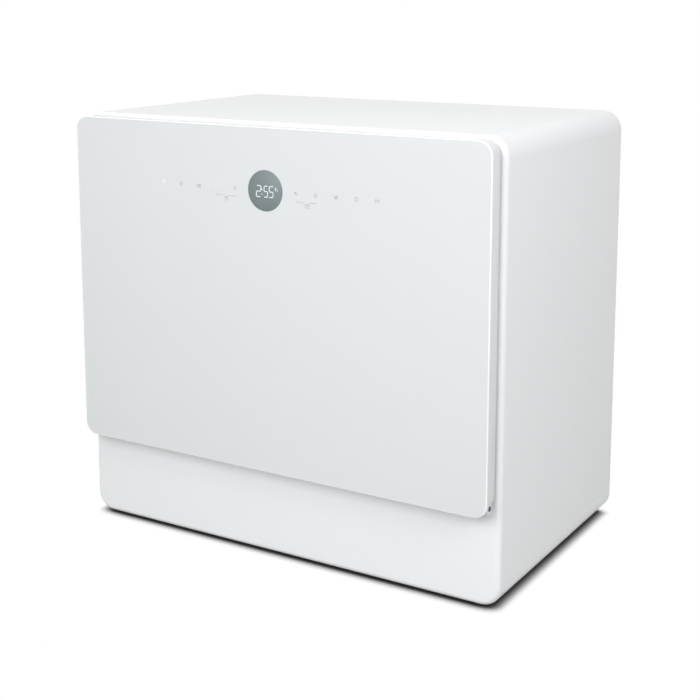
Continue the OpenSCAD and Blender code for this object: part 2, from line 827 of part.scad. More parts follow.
module door_frame() {
    a = glass_hw - 1;
    z0 = glass_z + 4;
    z1 = glass_top - 1;
    zc = (z0 + z1) / 2;
    zh = (z1 - z0) / 2;
    r = glass_r - 1;
    color("whitesmoke") front() difference() {
        union() {
            ring(a, zh, r, zc) translate([-2.2, glass_t]) square([2.2, frame_back - glass_t]);
            difference() {
                plate(a, zh, r, zc, frame_back - 2.2, frame_back);
                plate(liner_hw - 9, liner_hh - 9, liner_r - 9, liner_zc, frame_back - 4,
                    frame_back + 1);
            }
            // hinge bosses
            for (i = [-1, 1])
                translate([i * (support_x + 3.5), 0, 0]) {
                    rod_x(-10, -2.2, hinge_q, hinge_z, 5.6);
                    rod_x(2.2, 5, hinge_q, hinge_z, 5.6);
                    block(-10, -2.2, hinge_q, frame_back - 1, hinge_z - 1, hinge_z + 16);
                }
            // posts behind the glass
            for (i = [-1, 1], z = [z0 + 60, z0 + 170, z1 - 40])
                block(i * (a - 20) - 8, i * (a - 20) + 8, glass_t, frame_back - 2, z - 1.5, z + 1.5);
        }
        for (i = [-1, 1])
            translate([i * (support_x + 3.5), 0, 0]) {
                block(-2.2, 2.2, glass_t + 1, frame_back + 1, z0 - 1, hinge_z + 6.5);
                rod_x(-12, 12, hinge_q, hinge_z, pin_r + play);
            }
    }
}

module door_liner() {
    color("silver") front() difference() {
        union() {
            ring(liner_hw, liner_hh, liner_r, liner_zc)
                translate([-tub_t, frame_back]) square([tub_t, liner_q - frame_back]);
            ring(liner_hw, liner_hh, liner_r, liner_zc)
                translate([-8, frame_back]) square([8, tub_t]);
            difference() {
                plate(liner_hw, liner_hh, liner_r, liner_zc, liner_q - tub_t, liner_q);
                plate(dish_hw - tub_t, dish_hh - tub_t, 9, liner_zc, liner_q - 5, liner_q + 1);
            }
            difference() {
                plate(dish_hw, dish_hh, 10, liner_zc, dish_q - tub_t, liner_q);
                plate(dish_hw - tub_t, dish_hh - tub_t, 9, liner_zc, dish_q, liner_q + 1);
            }
        }
        block(-88, 88, 10, 30, liner_zc - 30, liner_zc + 30);
    }
}

module control_board() {
    color("seagreen") front() {
        block(-132, 132, glass_t + 4, glass_t + 5.6, disp_z - 24, disp_z + 24);
        // touch pads behind the printed keys
        for (i = [-1, 1], k = [0:4])
            rod_y(i * (key_x + k * key_step), glass_t, glass_t + 4 + e, disp_z, 3);
        for (i = [-1, 1])
            rod_y(i * (key_x + key_step / 2), glass_t, glass_t + 4 + e, disp_z - 11, 3);
        block(-100, -76, glass_t + 5.5, glass_t + 9, disp_z - 18, disp_z + 4);
        block(-20, 20, glass_t + 5.5, glass_t + 8, disp_z - 10, disp_z + 10);
        block(70, 96, glass_t + 5.5, glass_t + 10, disp_z - 16, disp_z - 4);
    }
}

module display_module() {
    color("slategray") front() rod_y(0, glass_t, glass_t + 4, disp_z, display_r);
}

module dispenser_body() {
    zc = liner_zc;
    color("gainsboro") front() difference() {
        union() {
            block(-88, 88, 9, dish_q, zc - 30, zc + 30);
            block(-94, 94, dish_q, dish_q + 3, zc - 36, zc + 36);
            for (s = [-1, 1]) {
                block(-84, 38, dish_q + 3 - e, dish_q + 7, zc + s * 32 - 1.5, zc + s * 32 + 1.5);
                block(-84, 38, dish_q + 6, dish_q + 7, zc + s * 30.5 - 1.5, zc + s * 30.5 + 1.5);
            }
        }
        // detergent cup and rinse aid socket
        block(-80, -26, 11, dish_q + 4, zc - 25, zc + 25);
        rod_y(66, 13, dish_q + 4, zc, 11 + play);
    }
}

module dispenser_lid() {
    zc = liner_zc;
    color("lightgray") front() {
        block(-83, -23, dish_q + 3.3, dish_q + 5.6, zc - 30, zc + 30);
        block(-34, -30, dish_q + 5.5, dish_q + 8.5, zc - 14, zc + 14);
    }
}

module rinse_cap() {
    zc = liner_zc;
    color("lightgray") front() {
        rod_y(66, 17, dish_q + 3.5, zc, 11);
        rod_y(66, dish_q + 3.4, dish_q + 6.5, zc, 15);
        block(54, 78, dish_q + 6, dish_q + 10, zc - 2, zc + 2);
    }
}

// ---------- rack ----------

// The rack is welded from wire: a floor, two ends, two sides and two rows of spines.
module rack_floor() {
    zr = cross_z + wire_r * 1.6;
    color("lightsteelblue") front() {
        // cross wires, turned up at both sides
        for (k = [0:6]) {
            q = rack_q0 + 6 + k * rack_step;
            rod_x(-rack_hw, rack_hw, q, cross_z, floor_r);
            for (i = [-1, 1])
                rod_z(i * rack_hw, q, cross_z - 0.9, stub_z, wire_r);
        }
        // long wires, turned up at the front and the back
        for (k = [0:8]) {
            x = -rack_hw + 22 + k * (rack_hw - 22) / 4;
            rod_y(x, rack_q0, rack_q1, zr, floor_r);
            for (q = [rack_q0, rack_q1])
                rod_z(x, q, zr - 0.9, stub_z, wire_r);
        }
    }
}

module rack_ends() {
    color("lightsteelblue") front() for (q = [rack_q0, rack_q1]) {
        for (k = [0:8])
            rod_z(-rack_hw + 22 + k * (rack_hw - 22) / 4, q, stub_z, rack_top, wire_r);
        rod_x(-rack_hw + 2, rack_hw - 2, q > mid_q ? q + wire_r * 1.2 : q - wire_r * 1.2,
            rack_z + rack_h / 2, wire_r);
        rod_x(-rack_hw + rim_r, rack_hw - rim_r, q, rack_top, rim_r);
    }
}

module rack_sides() {
    color("lightsteelblue") front() {
        for (i = [-1, 1]) {
            for (k = [0:6])
                rod_z(i * rack_hw, rack_q0 + 6 + k * rack_step, stub_z, rack_top, wire_r);
            rod_y(i * (rack_hw + wire_r * 1.2), rack_q0 + 2, rack_q1 - 2, rack_z + rack_h / 2,
                wire_r);
            rod_y(i * rack_hw, rack_q0 - rim_r, rack_q1 + rim_r, rack_top, rim_r);
        }
        // hinge eyes of the cup shelf
        for (q = [rack_q0 + 14, rack_q1 - 20])
            difference() {
                union() {
                    rod_y(shelf_x, q, q + 6, shelf_z, 4.5);
                    block(-rack_hw - 2, shelf_x + 2, q, q + 6, rack_top - 1, shelf_z - 1);
                }
                rod_y(shelf_x, q - 1, q + 7, shelf_z, 2 + play);
            }
    }
}

// Each row stands on its own wire, laid across the cross wires.
module plate_spines() {
    zs = cross_z + wire_r * 2;
    color("lightsteelblue") front() for (x = [-62, 38]) {
        rod_y(x, rack_q0 + 4, rack_q1 - 4, zs, wire_r);
        for (k = [0:spines - 1])
            rod_z(x, rack_q0 + 28 + k * 27, zs, rack_z + 62, wire_r);
    }
}

// Moulded clips on the side wires, with the axles of the wheels.
module wheel_clips() {
    color("lightgray") front() for (i = [-1, 1], q = [wheel_q0, wheel_q1])
        difference() {
            union() {
                block(i * rack_hw - 3.5, i * rack_hw + 3.5, q - 7, q + 7, wheel_z - 6, stub_z + 5);
                rod_x(i > 0 ? rack_hw : -wheel_x - 4, i > 0 ? wheel_x + 4 : -rack_hw, q, wheel_z, 3);
            }
            rod_z(i * rack_hw, q, rack_z, stub_z + 6, wire_r);
            rod_x(-rack_hw, rack_hw, q, cross_z, wire_r);
        }
}

module wheel(s, q) {
    color("lightgray") front() translate([s * wheel_x, q, wheel_z]) rotate([0, 90, 0])
        difference() {
            union() {
                translate([0, 0, -3]) cylinder(h = 6, r = wheel_r - 2);
                translate([0, 0, -2.5]) cylinder(h = 5, r = wheel_r);
            }
            translate([0, 0, -4]) cylinder(h = 8, r = 3 + play);
            for (k = [0:5])
                rotate([0, 0, k * 60]) translate([5.6, 0, -4]) cylinder(h = 8, r = 1.3);
        }
}

module wheel_fl() {
    wheel(-1, wheel_q0);
}

module wheel_fr() {
    wheel(1, wheel_q0);
}

module wheel_rl() {
    wheel(-1, wheel_q1);
}

module wheel_rr() {
    wheel(1, wheel_q1);
}

module cutlery_basket() {
    bl = bask_q1 - bask_q0;
    cell = (bl - 2) / 5;
    z1 = bask_z + bask_h;
    xm = (bask_x0 + bask_x1) / 2;
    color("gray") front() {
        difference() {
            block(bask_x0, bask_x1, bask_q0, bask_q1, bask_z, z1);
            for (i = [0, 1], k = [0:4])
                block(bask_x0 + 2 + i * 37, bask_x0 + 37 + i * 37, bask_q0 + 2 + k * cell,
                    bask_q0 + k * cell + cell, bask_z + 2, z1 + 1);
            // windows in the outer walls
            for (k = [0:4], r = [0:2], x = [bask_x0, bask_x1])
                block(x - 2.5, x + 2.5, bask_q0 + 7 + k * cell, bask_q0 + k * cell + cell - 5,
                    bask_z + 10 + r * 29, bask_z + 30 + r * 29);
            for (i = [0, 1], r = [0:2], q = [bask_q0, bask_q1])
                block(bask_x0 + 8 + i * 37, bask_x0 + 31 + i * 37, q - 2.5, q + 2.5,
                    bask_z + 10 + r * 29, bask_z + 30 + r * 29);
            // slots in the floor
            for (i = [0, 1], k = [0:4], n = [0:1])
                block(bask_x0 + 8 + i * 37, bask_x0 + 31 + i * 37, bask_q0 + 9 + k * cell + n * 12,
                    bask_q0 + 14 + k * cell + n * 12, bask_z - 1, bask_z + 3);
        }
        // carrying handle
        block(xm - 2, xm + 2, bask_q0 + 30, bask_q0 + 36, z1 - 8, z1 + 22);
        block(xm - 2, xm + 2, bask_q1 - 36, bask_q1 - 30, z1 - 8, z1 + 22);
        block(xm - 4, xm + 4, bask_q0 + 30, bask_q1 - 30, z1 + 16, z1 + 22);
    }
}

module cup_shelf() {
    color("lightsteelblue") front() {
        rod_y(shelf_x, rack_q0 + 10, rack_q1 - 10, shelf_z, 2);
        for (k = [0:5]) {
            q = rack_q0 + 28 + k * (rack_q1 - rack_q0 - 60) / 5;
            rod_z(shelf_x, q, shelf_z, shelf_z + shelf_w, 1.6);
        }
        rod_y(shelf_x, rack_q0 + 26, rack_q1 - 30, shelf_z + shelf_w - 2, 2);
        rod_y(shelf_x, rack_q0 + 26, rack_q1 - 30, shelf_z + shelf_w / 2, 1.8);
    }
}

// ---------- choice of node ----------

outer_case();
front_frame();
base_tray();
back_cover();
back_pockets();
feet();
tub();
tub_back();
tub_gasket();
rails();
sump();
filter_plate();
filter_cup();
spray_riser();
spray_arm();
arm_nut();
float_guide();
float();
salt_container();
salt_cap();
pump_housing();
pump_motor();
pump_impeller();
drain_pump();
drain_impeller();
heater();
base_hoses();
drain_hose();
drain_spigot();
inlet_valve();
fill_hose();
air_break();
power_module();
power_inlet();
side_supports();
door_hinges();
sound_mat();
lock_housing();
catch_roller();
back_screws();
door_glass();
door_frame();
door_liner();
control_board();
display_module();
dispenser_body();
dispenser_lid();
rinse_cap();
door_tongue();
rack_floor();
rack_ends();
rack_sides();
plate_spines();
wheel_clips();
wheel_fl();
wheel_fr();
wheel_rl();
wheel_rr();
cutlery_basket();
cup_shelf();
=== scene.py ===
import json
import bpy
import bmesh
from math import cos, pi, radians, sin
from mathutils import Matrix, Vector


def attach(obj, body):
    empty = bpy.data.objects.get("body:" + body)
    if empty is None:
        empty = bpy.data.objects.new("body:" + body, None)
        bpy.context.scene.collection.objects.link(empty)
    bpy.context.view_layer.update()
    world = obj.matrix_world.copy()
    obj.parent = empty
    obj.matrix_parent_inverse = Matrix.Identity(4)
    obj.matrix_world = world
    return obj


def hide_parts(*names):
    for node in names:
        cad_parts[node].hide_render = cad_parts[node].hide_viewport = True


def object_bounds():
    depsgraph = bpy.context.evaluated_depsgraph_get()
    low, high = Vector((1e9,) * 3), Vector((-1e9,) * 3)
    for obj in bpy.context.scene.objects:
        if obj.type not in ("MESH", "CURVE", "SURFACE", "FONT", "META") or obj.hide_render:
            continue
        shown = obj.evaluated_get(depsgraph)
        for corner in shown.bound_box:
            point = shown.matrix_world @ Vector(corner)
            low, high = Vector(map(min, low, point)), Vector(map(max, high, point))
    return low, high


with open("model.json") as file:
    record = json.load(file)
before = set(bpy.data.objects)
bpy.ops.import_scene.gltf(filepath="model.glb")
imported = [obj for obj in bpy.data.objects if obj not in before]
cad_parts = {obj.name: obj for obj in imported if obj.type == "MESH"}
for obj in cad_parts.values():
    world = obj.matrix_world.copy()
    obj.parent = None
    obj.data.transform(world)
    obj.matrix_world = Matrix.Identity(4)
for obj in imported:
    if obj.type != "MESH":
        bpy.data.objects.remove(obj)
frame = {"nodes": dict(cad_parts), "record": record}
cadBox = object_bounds()
nodes = frame["nodes"]
print("frame loaded:", len(nodes), "nodes")

mm = 0.001
mergeWithin = 0.000002  # points closer than this, in metres, become one
frontY = cadBox[0].y  # front face of the glass


# x and z as in the frame, q the depth behind the glass face, all in millimetres
def at(x, q, z):
    return Vector((x * mm, frontY + q * mm, z * mm))


# camera as in the photograph: place in metres, angles in degrees, lens in millimetres
viewer = {"place": (0.7236, -1.1971, 0.5653), "yaw": 31.71, "pitch": 9.41, "roll": -0.117,
          "lens": 69.19, "shift": (0.0216, -0.1959), "clip": (0.05, 60)}

cameraData = bpy.data.cameras.new("viewer")
cameraData.lens = viewer["lens"]
cameraData.shift_x, cameraData.shift_y = viewer["shift"]
cameraData.clip_start, cameraData.clip_end = viewer["clip"]
cameraObject = bpy.data.objects.new("viewer", cameraData)
cameraObject.matrix_world = (Matrix.Translation(viewer["place"])
                             @ Matrix.Rotation(radians(viewer["yaw"]), 4, "Z")
                             @ Matrix.Rotation(radians(90 - viewer["pitch"]), 4, "X")
                             @ Matrix.Rotation(radians(viewer["roll"]), 4, "Z"))
bpy.context.scene.collection.objects.link(cameraObject)
bpy.context.scene.camera = cameraObject
bpy.context.scene.view_settings.view_transform = "Standard"

# lamps: name, place, aim, size and power
studio = {"ambient": 0.42, "lowAir": 0.5, "highAir": 1.55, "airFrom": -0.1, "airTo": 0.75,
          "floorSize": 9.0, "floorWhite": 0.46, "shadowReach": 0.0125, "shadowFrom": 0.25,
          "shadowTo": 0.96, "shadowDark": 0.016, "shadowSamples": 12,
          "lamps": (("overhead", (-1.0, 0.3, 1.75), (-0.12, 0.0, 0.3), 1.1, 3.6),
                    ("frontKey", (0.00, -1.25, 0.73), (-0.02, -0.15, 0.15), 0.8, 8.5),
                    ("rightFill", (1.04, -0.55, 0.90), (0.15, 0.0, 0.29), 0.8, 6.8))}


# adds one shader node; a socket given as the value of an input is linked to it
def put(tree, kind, links=None, **values):
    node = tree.nodes.new("ShaderNode" + kind)
    for key, value in values.items():
        setattr(node, key, value)
    for key, source in (links or {}).items():
        if isinstance(source, bpy.types.NodeSocket):
            tree.links.new(source, node.inputs[key])
        else:
            node.inputs[key].default_value = source
    return node


# 1 for rays that look straight at the backdrop, or see it in metal or through glass
def backdropRays(tree):
    path = put(tree, "LightPath")
    both = put(tree, "Math", {0: path.outputs["Is Camera Ray"], 1: path.outputs["Is Glossy Ray"]},
               operation="MAXIMUM")
    return put(tree, "Math", {0: both.outputs[0], 1: path.outputs["Is Transmission Ray"]},
               operation="MAXIMUM").outputs[0]


# air that is brighter overhead than at the horizon, and white where it is looked at
def buildAir():
    world = bpy.data.worlds.new("studioAir")
    bpy.context.scene.world = world
    world.use_nodes = True
    tree = world.node_tree
    tree.nodes.clear()
    height = put(tree, "SeparateXYZ", {0: put(tree, "TexCoord").outputs["Generated"]})
    rise = put(tree, "MapRange", {"Value": height.outputs["Z"], "From Min": studio["airFrom"],
                                  "From Max": studio["airTo"],
                                  "To Min": studio["ambient"] * studio["lowAir"],
                                  "To Max": studio["ambient"] * studio["highAir"]})
    dim = put(tree, "Background", {"Strength": rise.outputs[0]})
    dim.inputs["Color"].default_value = (1, 1, 1, 1)
    white = put(tree, "Background", {"Strength": 1.0})
    white.inputs["Color"].default_value = (1, 1, 1, 1)
    mix = put(tree, "MixShader", {0: backdropRays(tree), 1: dim.outputs[0], 2: white.outputs[0]})
    put(tree, "OutputWorld", {"Surface": mix.outputs[0]})


# paper floor that shows white, with a painted contact shadow that darkens its glow just under the
# machine
def buildFloor():
    bm = bmesh.new()
    bmesh.ops.create_grid(bm, x_segments=1, y_segments=1, size=studio["floorSize"])
    mesh = bpy.data.meshes.new("studioFloor")
    bm.to_mesh(mesh)
    bm.free()
    floor = bpy.data.objects.new("studioFloor", mesh)
    bpy.context.scene.collection.objects.link(floor)
    paper = bpy.data.materials.new("whitePaper")
    paper.use_nodes = True
    tree = paper.node_tree
    tree.nodes.clear()
    fibre = put(tree, "TexNoise", {"Vector": put(tree, "TexCoord").outputs["Object"],
                                   "Scale": 3.0})
    shade = put(tree, "MapRange", {"Value": fibre.outputs[0], "To Min": 0.997, "To Max": 1.003})
    # painted contact shadow: ambient occlusion darkens the floor's emitted white where the machine
    # stands near it, in place of a lamp's shadow
    occlusionShadow = put(tree, "AmbientOcclusion", {"Distance": studio["shadowReach"]},
                samples=studio["shadowSamples"])
    depth = put(tree, "MapRange", {"Value": occlusionShadow.outputs["AO"],
                                   "From Min": studio["shadowFrom"],
                                   "From Max": studio["shadowTo"],
                                   "To Min": studio["shadowDark"], "To Max": 1.0},
                interpolation_type="SMOOTHSTEP")
    light = put(tree, "Math", {0: shade.outputs[0], 1: depth.outputs[0]}, operation="MULTIPLY")
    seen = put(tree, "Emission", {"Strength": light.outputs[0]})
    dull = put(tree, "BsdfDiffuse", {"Color": (studio["floorWhite"],) * 3 + (1,)})
    mix = put(tree, "MixShader", {0: backdropRays(tree), 1: dull.outputs[0], 2: seen.outputs[0]})
    put(tree, "OutputMaterial", {"Surface": mix.outputs[0]})
    mesh.materials.append(paper)


def buildLamps():
    for name, place, aim, size, power in studio["lamps"]:
        light = bpy.data.lights.new(name, "AREA")
        light.shape = "DISK"
        light.size = size
        light.energy = power
        lamp = bpy.data.objects.new(name, light)
        lamp.location = place
        lamp.rotation_euler = (Vector(aim) - Vector(place)).to_track_quat("-Z", "Y").to_euler()
        bpy.context.scene.collection.objects.link(lamp)


buildAir()
buildFloor()
buildLamps()
print("camera, floor and lamps in place")


# starts a shader group with named inputs and outputs
def newGroup(name, inputs, outputs):
    group = bpy.data.node_groups.new(name, "ShaderNodeTree")
    for label, kind, value in inputs:
        socket = group.interface.new_socket(label, in_out="INPUT", socket_type=kind)
        socket.default_value = value
    for label, kind in outputs:
        group.interface.new_socket(label, in_out="OUTPUT", socket_type=kind)
    return group, group.nodes.new("NodeGroupInput"), group.nodes.new("NodeGroupOutput")


# slow drift of a colour over the piece, as in moulded plastic or fired paint
def buildToneDrift():
    group, given, out = newGroup("toneDrift",
                                 (("Color", "NodeSocketColor", (0.8, 0.8, 0.8, 1)),
                                  ("Scale", "NodeSocketFloat", 6.0),
                                  ("Amount", "NodeSocketFloat", 0.03)),
                                 (("Color", "NodeSocketColor"), ("Mask", "NodeSocketFloat")))
    place = put(group, "TexCoord").outputs["Object"]
    cloud = put(group, "TexNoise", {"Vector": place, "Scale": given.outputs["Scale"], "Detail": 4.0,
                                    "Roughness": 0.55})
    low = put(group, "Math", {0: 1.0, 1: given.outputs["Amount"]}, operation="SUBTRACT")
    shade = put(group, "MapRange", {"Value": cloud.outputs[0], "From Min": 0.3, "From Max": 0.7,
                                    "To Min": low.outputs[0], "To Max": 1.0})
    grey = put(group, "CombineColor", {0: shade.outputs[0], 1: shade.outputs[0],
                                       2: shade.outputs[0]})
    tinted = put(group, "Mix", {0: 1.0, 6: given.outputs["Color"], 7: grey.outputs[0]},
                 data_type="RGBA", blend_type="MULTIPLY")
    group.links.new(tinted.outputs[2], out.inputs["Color"])
    group.links.new(cloud.outputs[0], out.inputs["Mask"])
    return group


# fine pebbled grain of a mould, or orange peel of a coat at a low scale
def buildMouldGrain():
    group, given, out = newGroup("mouldGrain",
                                 (("Scale", "NodeSocketFloat", 900.0),
                                  ("Pebble", "NodeSocketFloat", 0.5)),
                                 (("Height", "NodeSocketFloat"),))
    place = put(group, "TexCoord").outputs["Object"]
    soft = put(group, "TexNoise", {"Vector": place, "Scale": given.outputs["Scale"], "Detail": 3.0})
    cells = put(group, "TexVoronoi", {"Vector": place, "Scale": given.outputs["Scale"]},
                feature="SMOOTH_F1")
    mixed = put(group, "Mix", {0: given.outputs["Pebble"], 2: soft.outputs[0],
                               3: cells.outputs[0]}, data_type="FLOAT")
    group.links.new(mixed.outputs[0], out.inputs["Height"])
    return group


# long fine lines left by rolling and brushing sheet steel
def buildBrushLines():
    group, given, out = newGroup("brushLines",
                                 (("Stretch", "NodeSocketVector", (4.0, 900.0, 900.0)),
                                  ("Breakup", "NodeSocketFloat", 0.35)),
                                 (("Lines", "NodeSocketFloat"), ("Cloud", "NodeSocketFloat")))
    place = put(group, "TexCoord").outputs["Object"]
    pulled = put(group, "VectorMath", {0: place, 1: given.outputs["Stretch"]},
                 operation="MULTIPLY")
    lines = put(group, "TexNoise", {"Vector": pulled.outputs[0], "Scale": 1.0, "Detail": 3.0,
                                    "Roughness": 0.7})
    cloud = put(group, "TexNoise", {"Vector": place, "Scale": 14.0, "Detail": 3.0})
    mixed = put(group, "Mix", {0: given.outputs["Breakup"], 2: lines.outputs[0],
                               3: cloud.outputs[0]}, data_type="FLOAT")
    group.links.new(lines.outputs[0], out.inputs["Lines"])
    group.links.new(mixed.outputs[0], out.inputs["Cloud"])
    return group


toneDrift = buildToneDrift()
mouldGrain = buildMouldGrain()
brushLines = buildBrushLines()


# places a shared group in a material, with that material's own values
def useGroup(tree, group, values):
    node = tree.nodes.new("ShaderNodeGroup")
    node.node_tree = group
    for key, value in values.items():
        node.inputs[key].default_value = value
    return node


# empty material with one shader
def newSkin(name):
    skin = bpy.data.materials.new(name)
    skin.use_nodes = True
    tree = skin.node_tree
    tree.nodes.clear()
    shader = put(tree, "BsdfPrincipled")
    put(tree, "OutputMaterial", {"Surface": shader.outputs[0]})
    return skin, tree, shader


# values that are the same all over the surface, on the shader's own sockets
def setPlain(shader, plain):
    for key, value in plain.items():
        shader.inputs[key].default_value = value


# roughness that drifts a little around its middle value
def roughBy(tree, shader, source, middle, spread):
    ramp = put(tree, "MapRange", {"Value": source, "From Min": 0.25, "From Max": 0.75,
                                  "To Min": middle - spread, "To Max": middle + spread})
    tree.links.new(ramp.outputs[0], shader.inputs["Roughness"])


# relief of the given depth in millimetres
def raiseBy(tree, shader, source, depth):
    bump = put(tree, "Bump", {"Height": source, "Distance": depth * mm, "Strength": 1.0})
    tree.links.new(bump.outputs[0], shader.inputs["Normal"])


# moulded plastic, paint, rubber and felt: drift of tone, roughness that follows it, and grain
def moulded(name, colour, rough, spread=0.04, drift=0.03, driftScale=7.0, grain=0.03,
            grainScale=900.0, pebble=0.5, **plain):
    skin, tree, shader = newSkin(name)
    tone = useGroup(tree, toneDrift, {"Color": tuple(colour) + (1,), "Scale": driftScale,
                                      "Amount": drift})
    tree.links.new(tone.outputs["Color"], shader.inputs["Base Color"])
    roughBy(tree, shader, tone.outputs["Mask"], rough, spread)
    if grain:
        bumps = useGroup(tree, mouldGrain, {"Scale": grainScale, "Pebble": pebble})
        raiseBy(tree, shader, bumps.outputs["Height"], grain)
    setPlain(shader, plain)
    return skin


# sheet steel with the lines running along one axis
def brushed(name, colour, rough, along="Z", spread=0.06, drift=0.05, lineDepth=0.004,
            fine=700.0, coarse=5.0):
    skin, tree, shader = newSkin(name)
    stretch = tuple(coarse if axis == along else fine for axis in "XYZ")
    lines = useGroup(tree, brushLines, {"Stretch": stretch, "Breakup": 0.35})
    tone = useGroup(tree, toneDrift, {"Color": tuple(colour) + (1,), "Scale": 5.0,
                                      "Amount": drift})
    streak = put(tree, "MapRange", {"Value": lines.outputs["Lines"], "From Min": 0.3,
                                    "From Max": 0.7, "To Min": 1 - drift, "To Max": 1.0})
    grey = put(tree, "CombineColor", {0: streak.outputs[0], 1: streak.outputs[0],
                                      2: streak.outputs[0]})
    tinted = put(tree, "Mix", {0: 1.0, 6: tone.outputs["Color"], 7: grey.outputs[0]},
                 data_type="RGBA", blend_type="MULTIPLY")
    tree.links.new(tinted.outputs[2], shader.inputs["Base Color"])
    roughBy(tree, shader, lines.outputs["Cloud"], rough, spread)
    raiseBy(tree, shader, lines.outputs["Lines"], lineDepth)
    setPlain(shader, {"Metallic": 1.0})
    return skin


# thin sheet for the fine filter, with rows of pin holes painted as near-black dots: painted shade
# where the openings would show dark
def perforated(name, colour, rough, pitch=2.2, hole=0.32, rim=0.06):
    skin = brushed(name, colour, rough, along="X")
    tree = skin.node_tree
    shader = tree.nodes["Principled BSDF"]
    place = put(tree, "TexCoord").outputs["Object"]
    cells = put(tree, "TexVoronoi", {"Vector": place, "Scale": 1000.0 / pitch,
                                     "Randomness": 0.0}, feature="F1")
    holes = put(tree, "MapRange", {"Value": cells.outputs["Distance"], "From Min": hole - rim,
                                   "From Max": hole + rim, "To Min": 0.0, "To Max": 1.0})
    sheet = shader.inputs["Base Color"].links[0].from_socket
    # the pin holes are painted near-black, a painted shade standing in for the dark view through
    # each opening
    dark = put(tree, "Mix", {0: holes.outputs[0], 6: (0.012, 0.012, 0.013, 1), 7: sheet},
               data_type="RGBA")
    tree.links.new(dark.outputs[2], shader.inputs["Base Color"])
    return skin


# a lit or printed mark: colour drifts a little, and the light of a lit one with it
def marked(name, colour, rough=0.35, glow=0.0):
    skin, tree, shader = newSkin(name)
    tone = useGroup(tree, toneDrift, {"Color": tuple(colour) + (1,), "Scale": 60.0,
                                      "Amount": 0.06})
    tree.links.new(tone.outputs["Color"], shader.inputs["Base Color"])
    if glow:
        tree.links.new(tone.outputs["Color"], shader.inputs["Emission Color"])
        setPlain(shader, {"Emission Strength": glow})
    setPlain(shader, {"Roughness": rough})
    return skin


# one skin for each finish in the record
skinOf = {
    "white_shell": moulded("shellWhite", (0.845, 0.853, 0.862), 0.30, spread=0.015, drift=0.012,
                           driftScale=3.0, grain=0.002, grainScale=420.0, pebble=0.2),
    "grey_sheet": moulded("backPaint", (0.50, 0.51, 0.52), 0.42, drift=0.03, driftScale=5.0,
                          grain=0.012, grainScale=700.0, pebble=0.35),
    "base_plastic": moulded("trayPlastic", (0.055, 0.057, 0.06), 0.52, spread=0.08, drift=0.10,
                            grain=0.03, grainScale=1100.0),
    "foot_rubber": moulded("footRubber", (0.018, 0.018, 0.019), 0.72, spread=0.08, drift=0.18,
                           grain=0.03, grainScale=1500.0),
    "tub_steel": brushed("tubSteel", (0.60, 0.605, 0.61), 0.27, along="Y", drift=0.03),
    "seal_rubber": moulded("sealRubber", (0.10, 0.103, 0.106), 0.55, spread=0.08, drift=0.12,
                           grain=0.01, grainScale=900.0),
    "light_plastic": moulded("lightPlastic", (0.60, 0.61, 0.61), 0.40, spread=0.06, drift=0.04,
                             grain=0.01, grainScale=1200.0),
    "grey_plastic": moulded("sumpPlastic", (0.16, 0.17, 0.175), 0.46, spread=0.07, drift=0.08,
                            grain=0.02, grainScale=1000.0),
    "cup_plastic": moulded("capPlastic", (0.26, 0.275, 0.285), 0.38, spread=0.06, drift=0.06,
                           grain=0.01, grainScale=1300.0),
    "arm_steel": brushed("armSteel", (0.63, 0.635, 0.64), 0.24, along="X"),
    "white_plastic": moulded("valvePlastic", (0.72, 0.72, 0.70), 0.40, spread=0.05, drift=0.04,
                             grain=0.01, grainScale=1200.0),
    "motor_steel": brushed("motorSteel", (0.12, 0.12, 0.125), 0.38, along="X", drift=0.12),
    "rotor_plastic": moulded("rotorPlastic", (0.07, 0.16, 0.27), 0.35, drift=0.08, grain=0.01),
    "heater_steel": brushed("heaterSteel", (0.40, 0.395, 0.385), 0.33, along="X", drift=0.14),
    "hose_rubber": moulded("hoseRubber", (0.022, 0.022, 0.023), 0.58, spread=0.09, drift=0.2,
                           driftScale=16.0, grain=0.03, grainScale=800.0),
    "drain_rubber": moulded("drainRubber", (0.085, 0.088, 0.09), 0.6, spread=0.08, drift=0.15,
                            driftScale=16.0, grain=0.03, grainScale=800.0),
    "module_plastic": moulded("modulePlastic", (0.62, 0.60, 0.52), 0.45, drift=0.05, grain=0.02),
    "inlet_plastic": moulded("socketPlastic", (0.03, 0.03, 0.03), 0.42, drift=0.12, grain=0.03,
                             grainScale=1300.0),
    "bracket_steel": brushed("zincSheet", (0.42, 0.425, 0.43), 0.36, along="Z", drift=0.16,
                             fine=260.0),
    "mat_felt": moulded("soundFelt", (0.028, 0.028, 0.03), 0.92, spread=0.05, drift=0.35,
                        driftScale=40.0, grain=0.35, grainScale=420.0, pebble=0.25),
    "screw_steel": brushed("screwSteel", (0.45, 0.45, 0.46), 0.30, along="Y", drift=0.10),
    "door_glass": moulded("backedGlass", (0.698, 0.720, 0.728), 0.06, spread=0.02, drift=0.03,
                          driftScale=2.4, grain=0, IOR=1.52),
    "door_plastic": moulded("doorPlastic", (0.74, 0.75, 0.755), 0.34, spread=0.05, drift=0.02,
                            grain=0.006, grainScale=900.0),
    "liner_steel": brushed("linerSteel", (0.60, 0.605, 0.61), 0.25, along="X"),
    "board": moulded("boardLacquer", (0.02, 0.12, 0.06), 0.34, drift=0.22, driftScale=30.0,
                     grain=0.03, grainScale=600.0),
    "display": moulded("displayDark", (0.205, 0.245, 0.251), 0.34, spread=0.03, drift=0.04,
                       driftScale=22.0, grain=0, IOR=1.25),
    "rack_wire": moulded("nylonCoat", (0.36, 0.40, 0.43), 0.36, spread=0.08, drift=0.09,
                         driftScale=30.0, grain=0.02, grainScale=520.0, pebble=0.2),
    "wheel_plastic": moulded("wheelPlastic", (0.52, 0.53, 0.54), 0.40, drift=0.05, grain=0.01),
    "basket_plastic": moulded("basketPlastic", (0.20, 0.215, 0.225), 0.44, spread=0.07,
                              drift=0.06, grain=0.02, grainScale=1000.0),
}

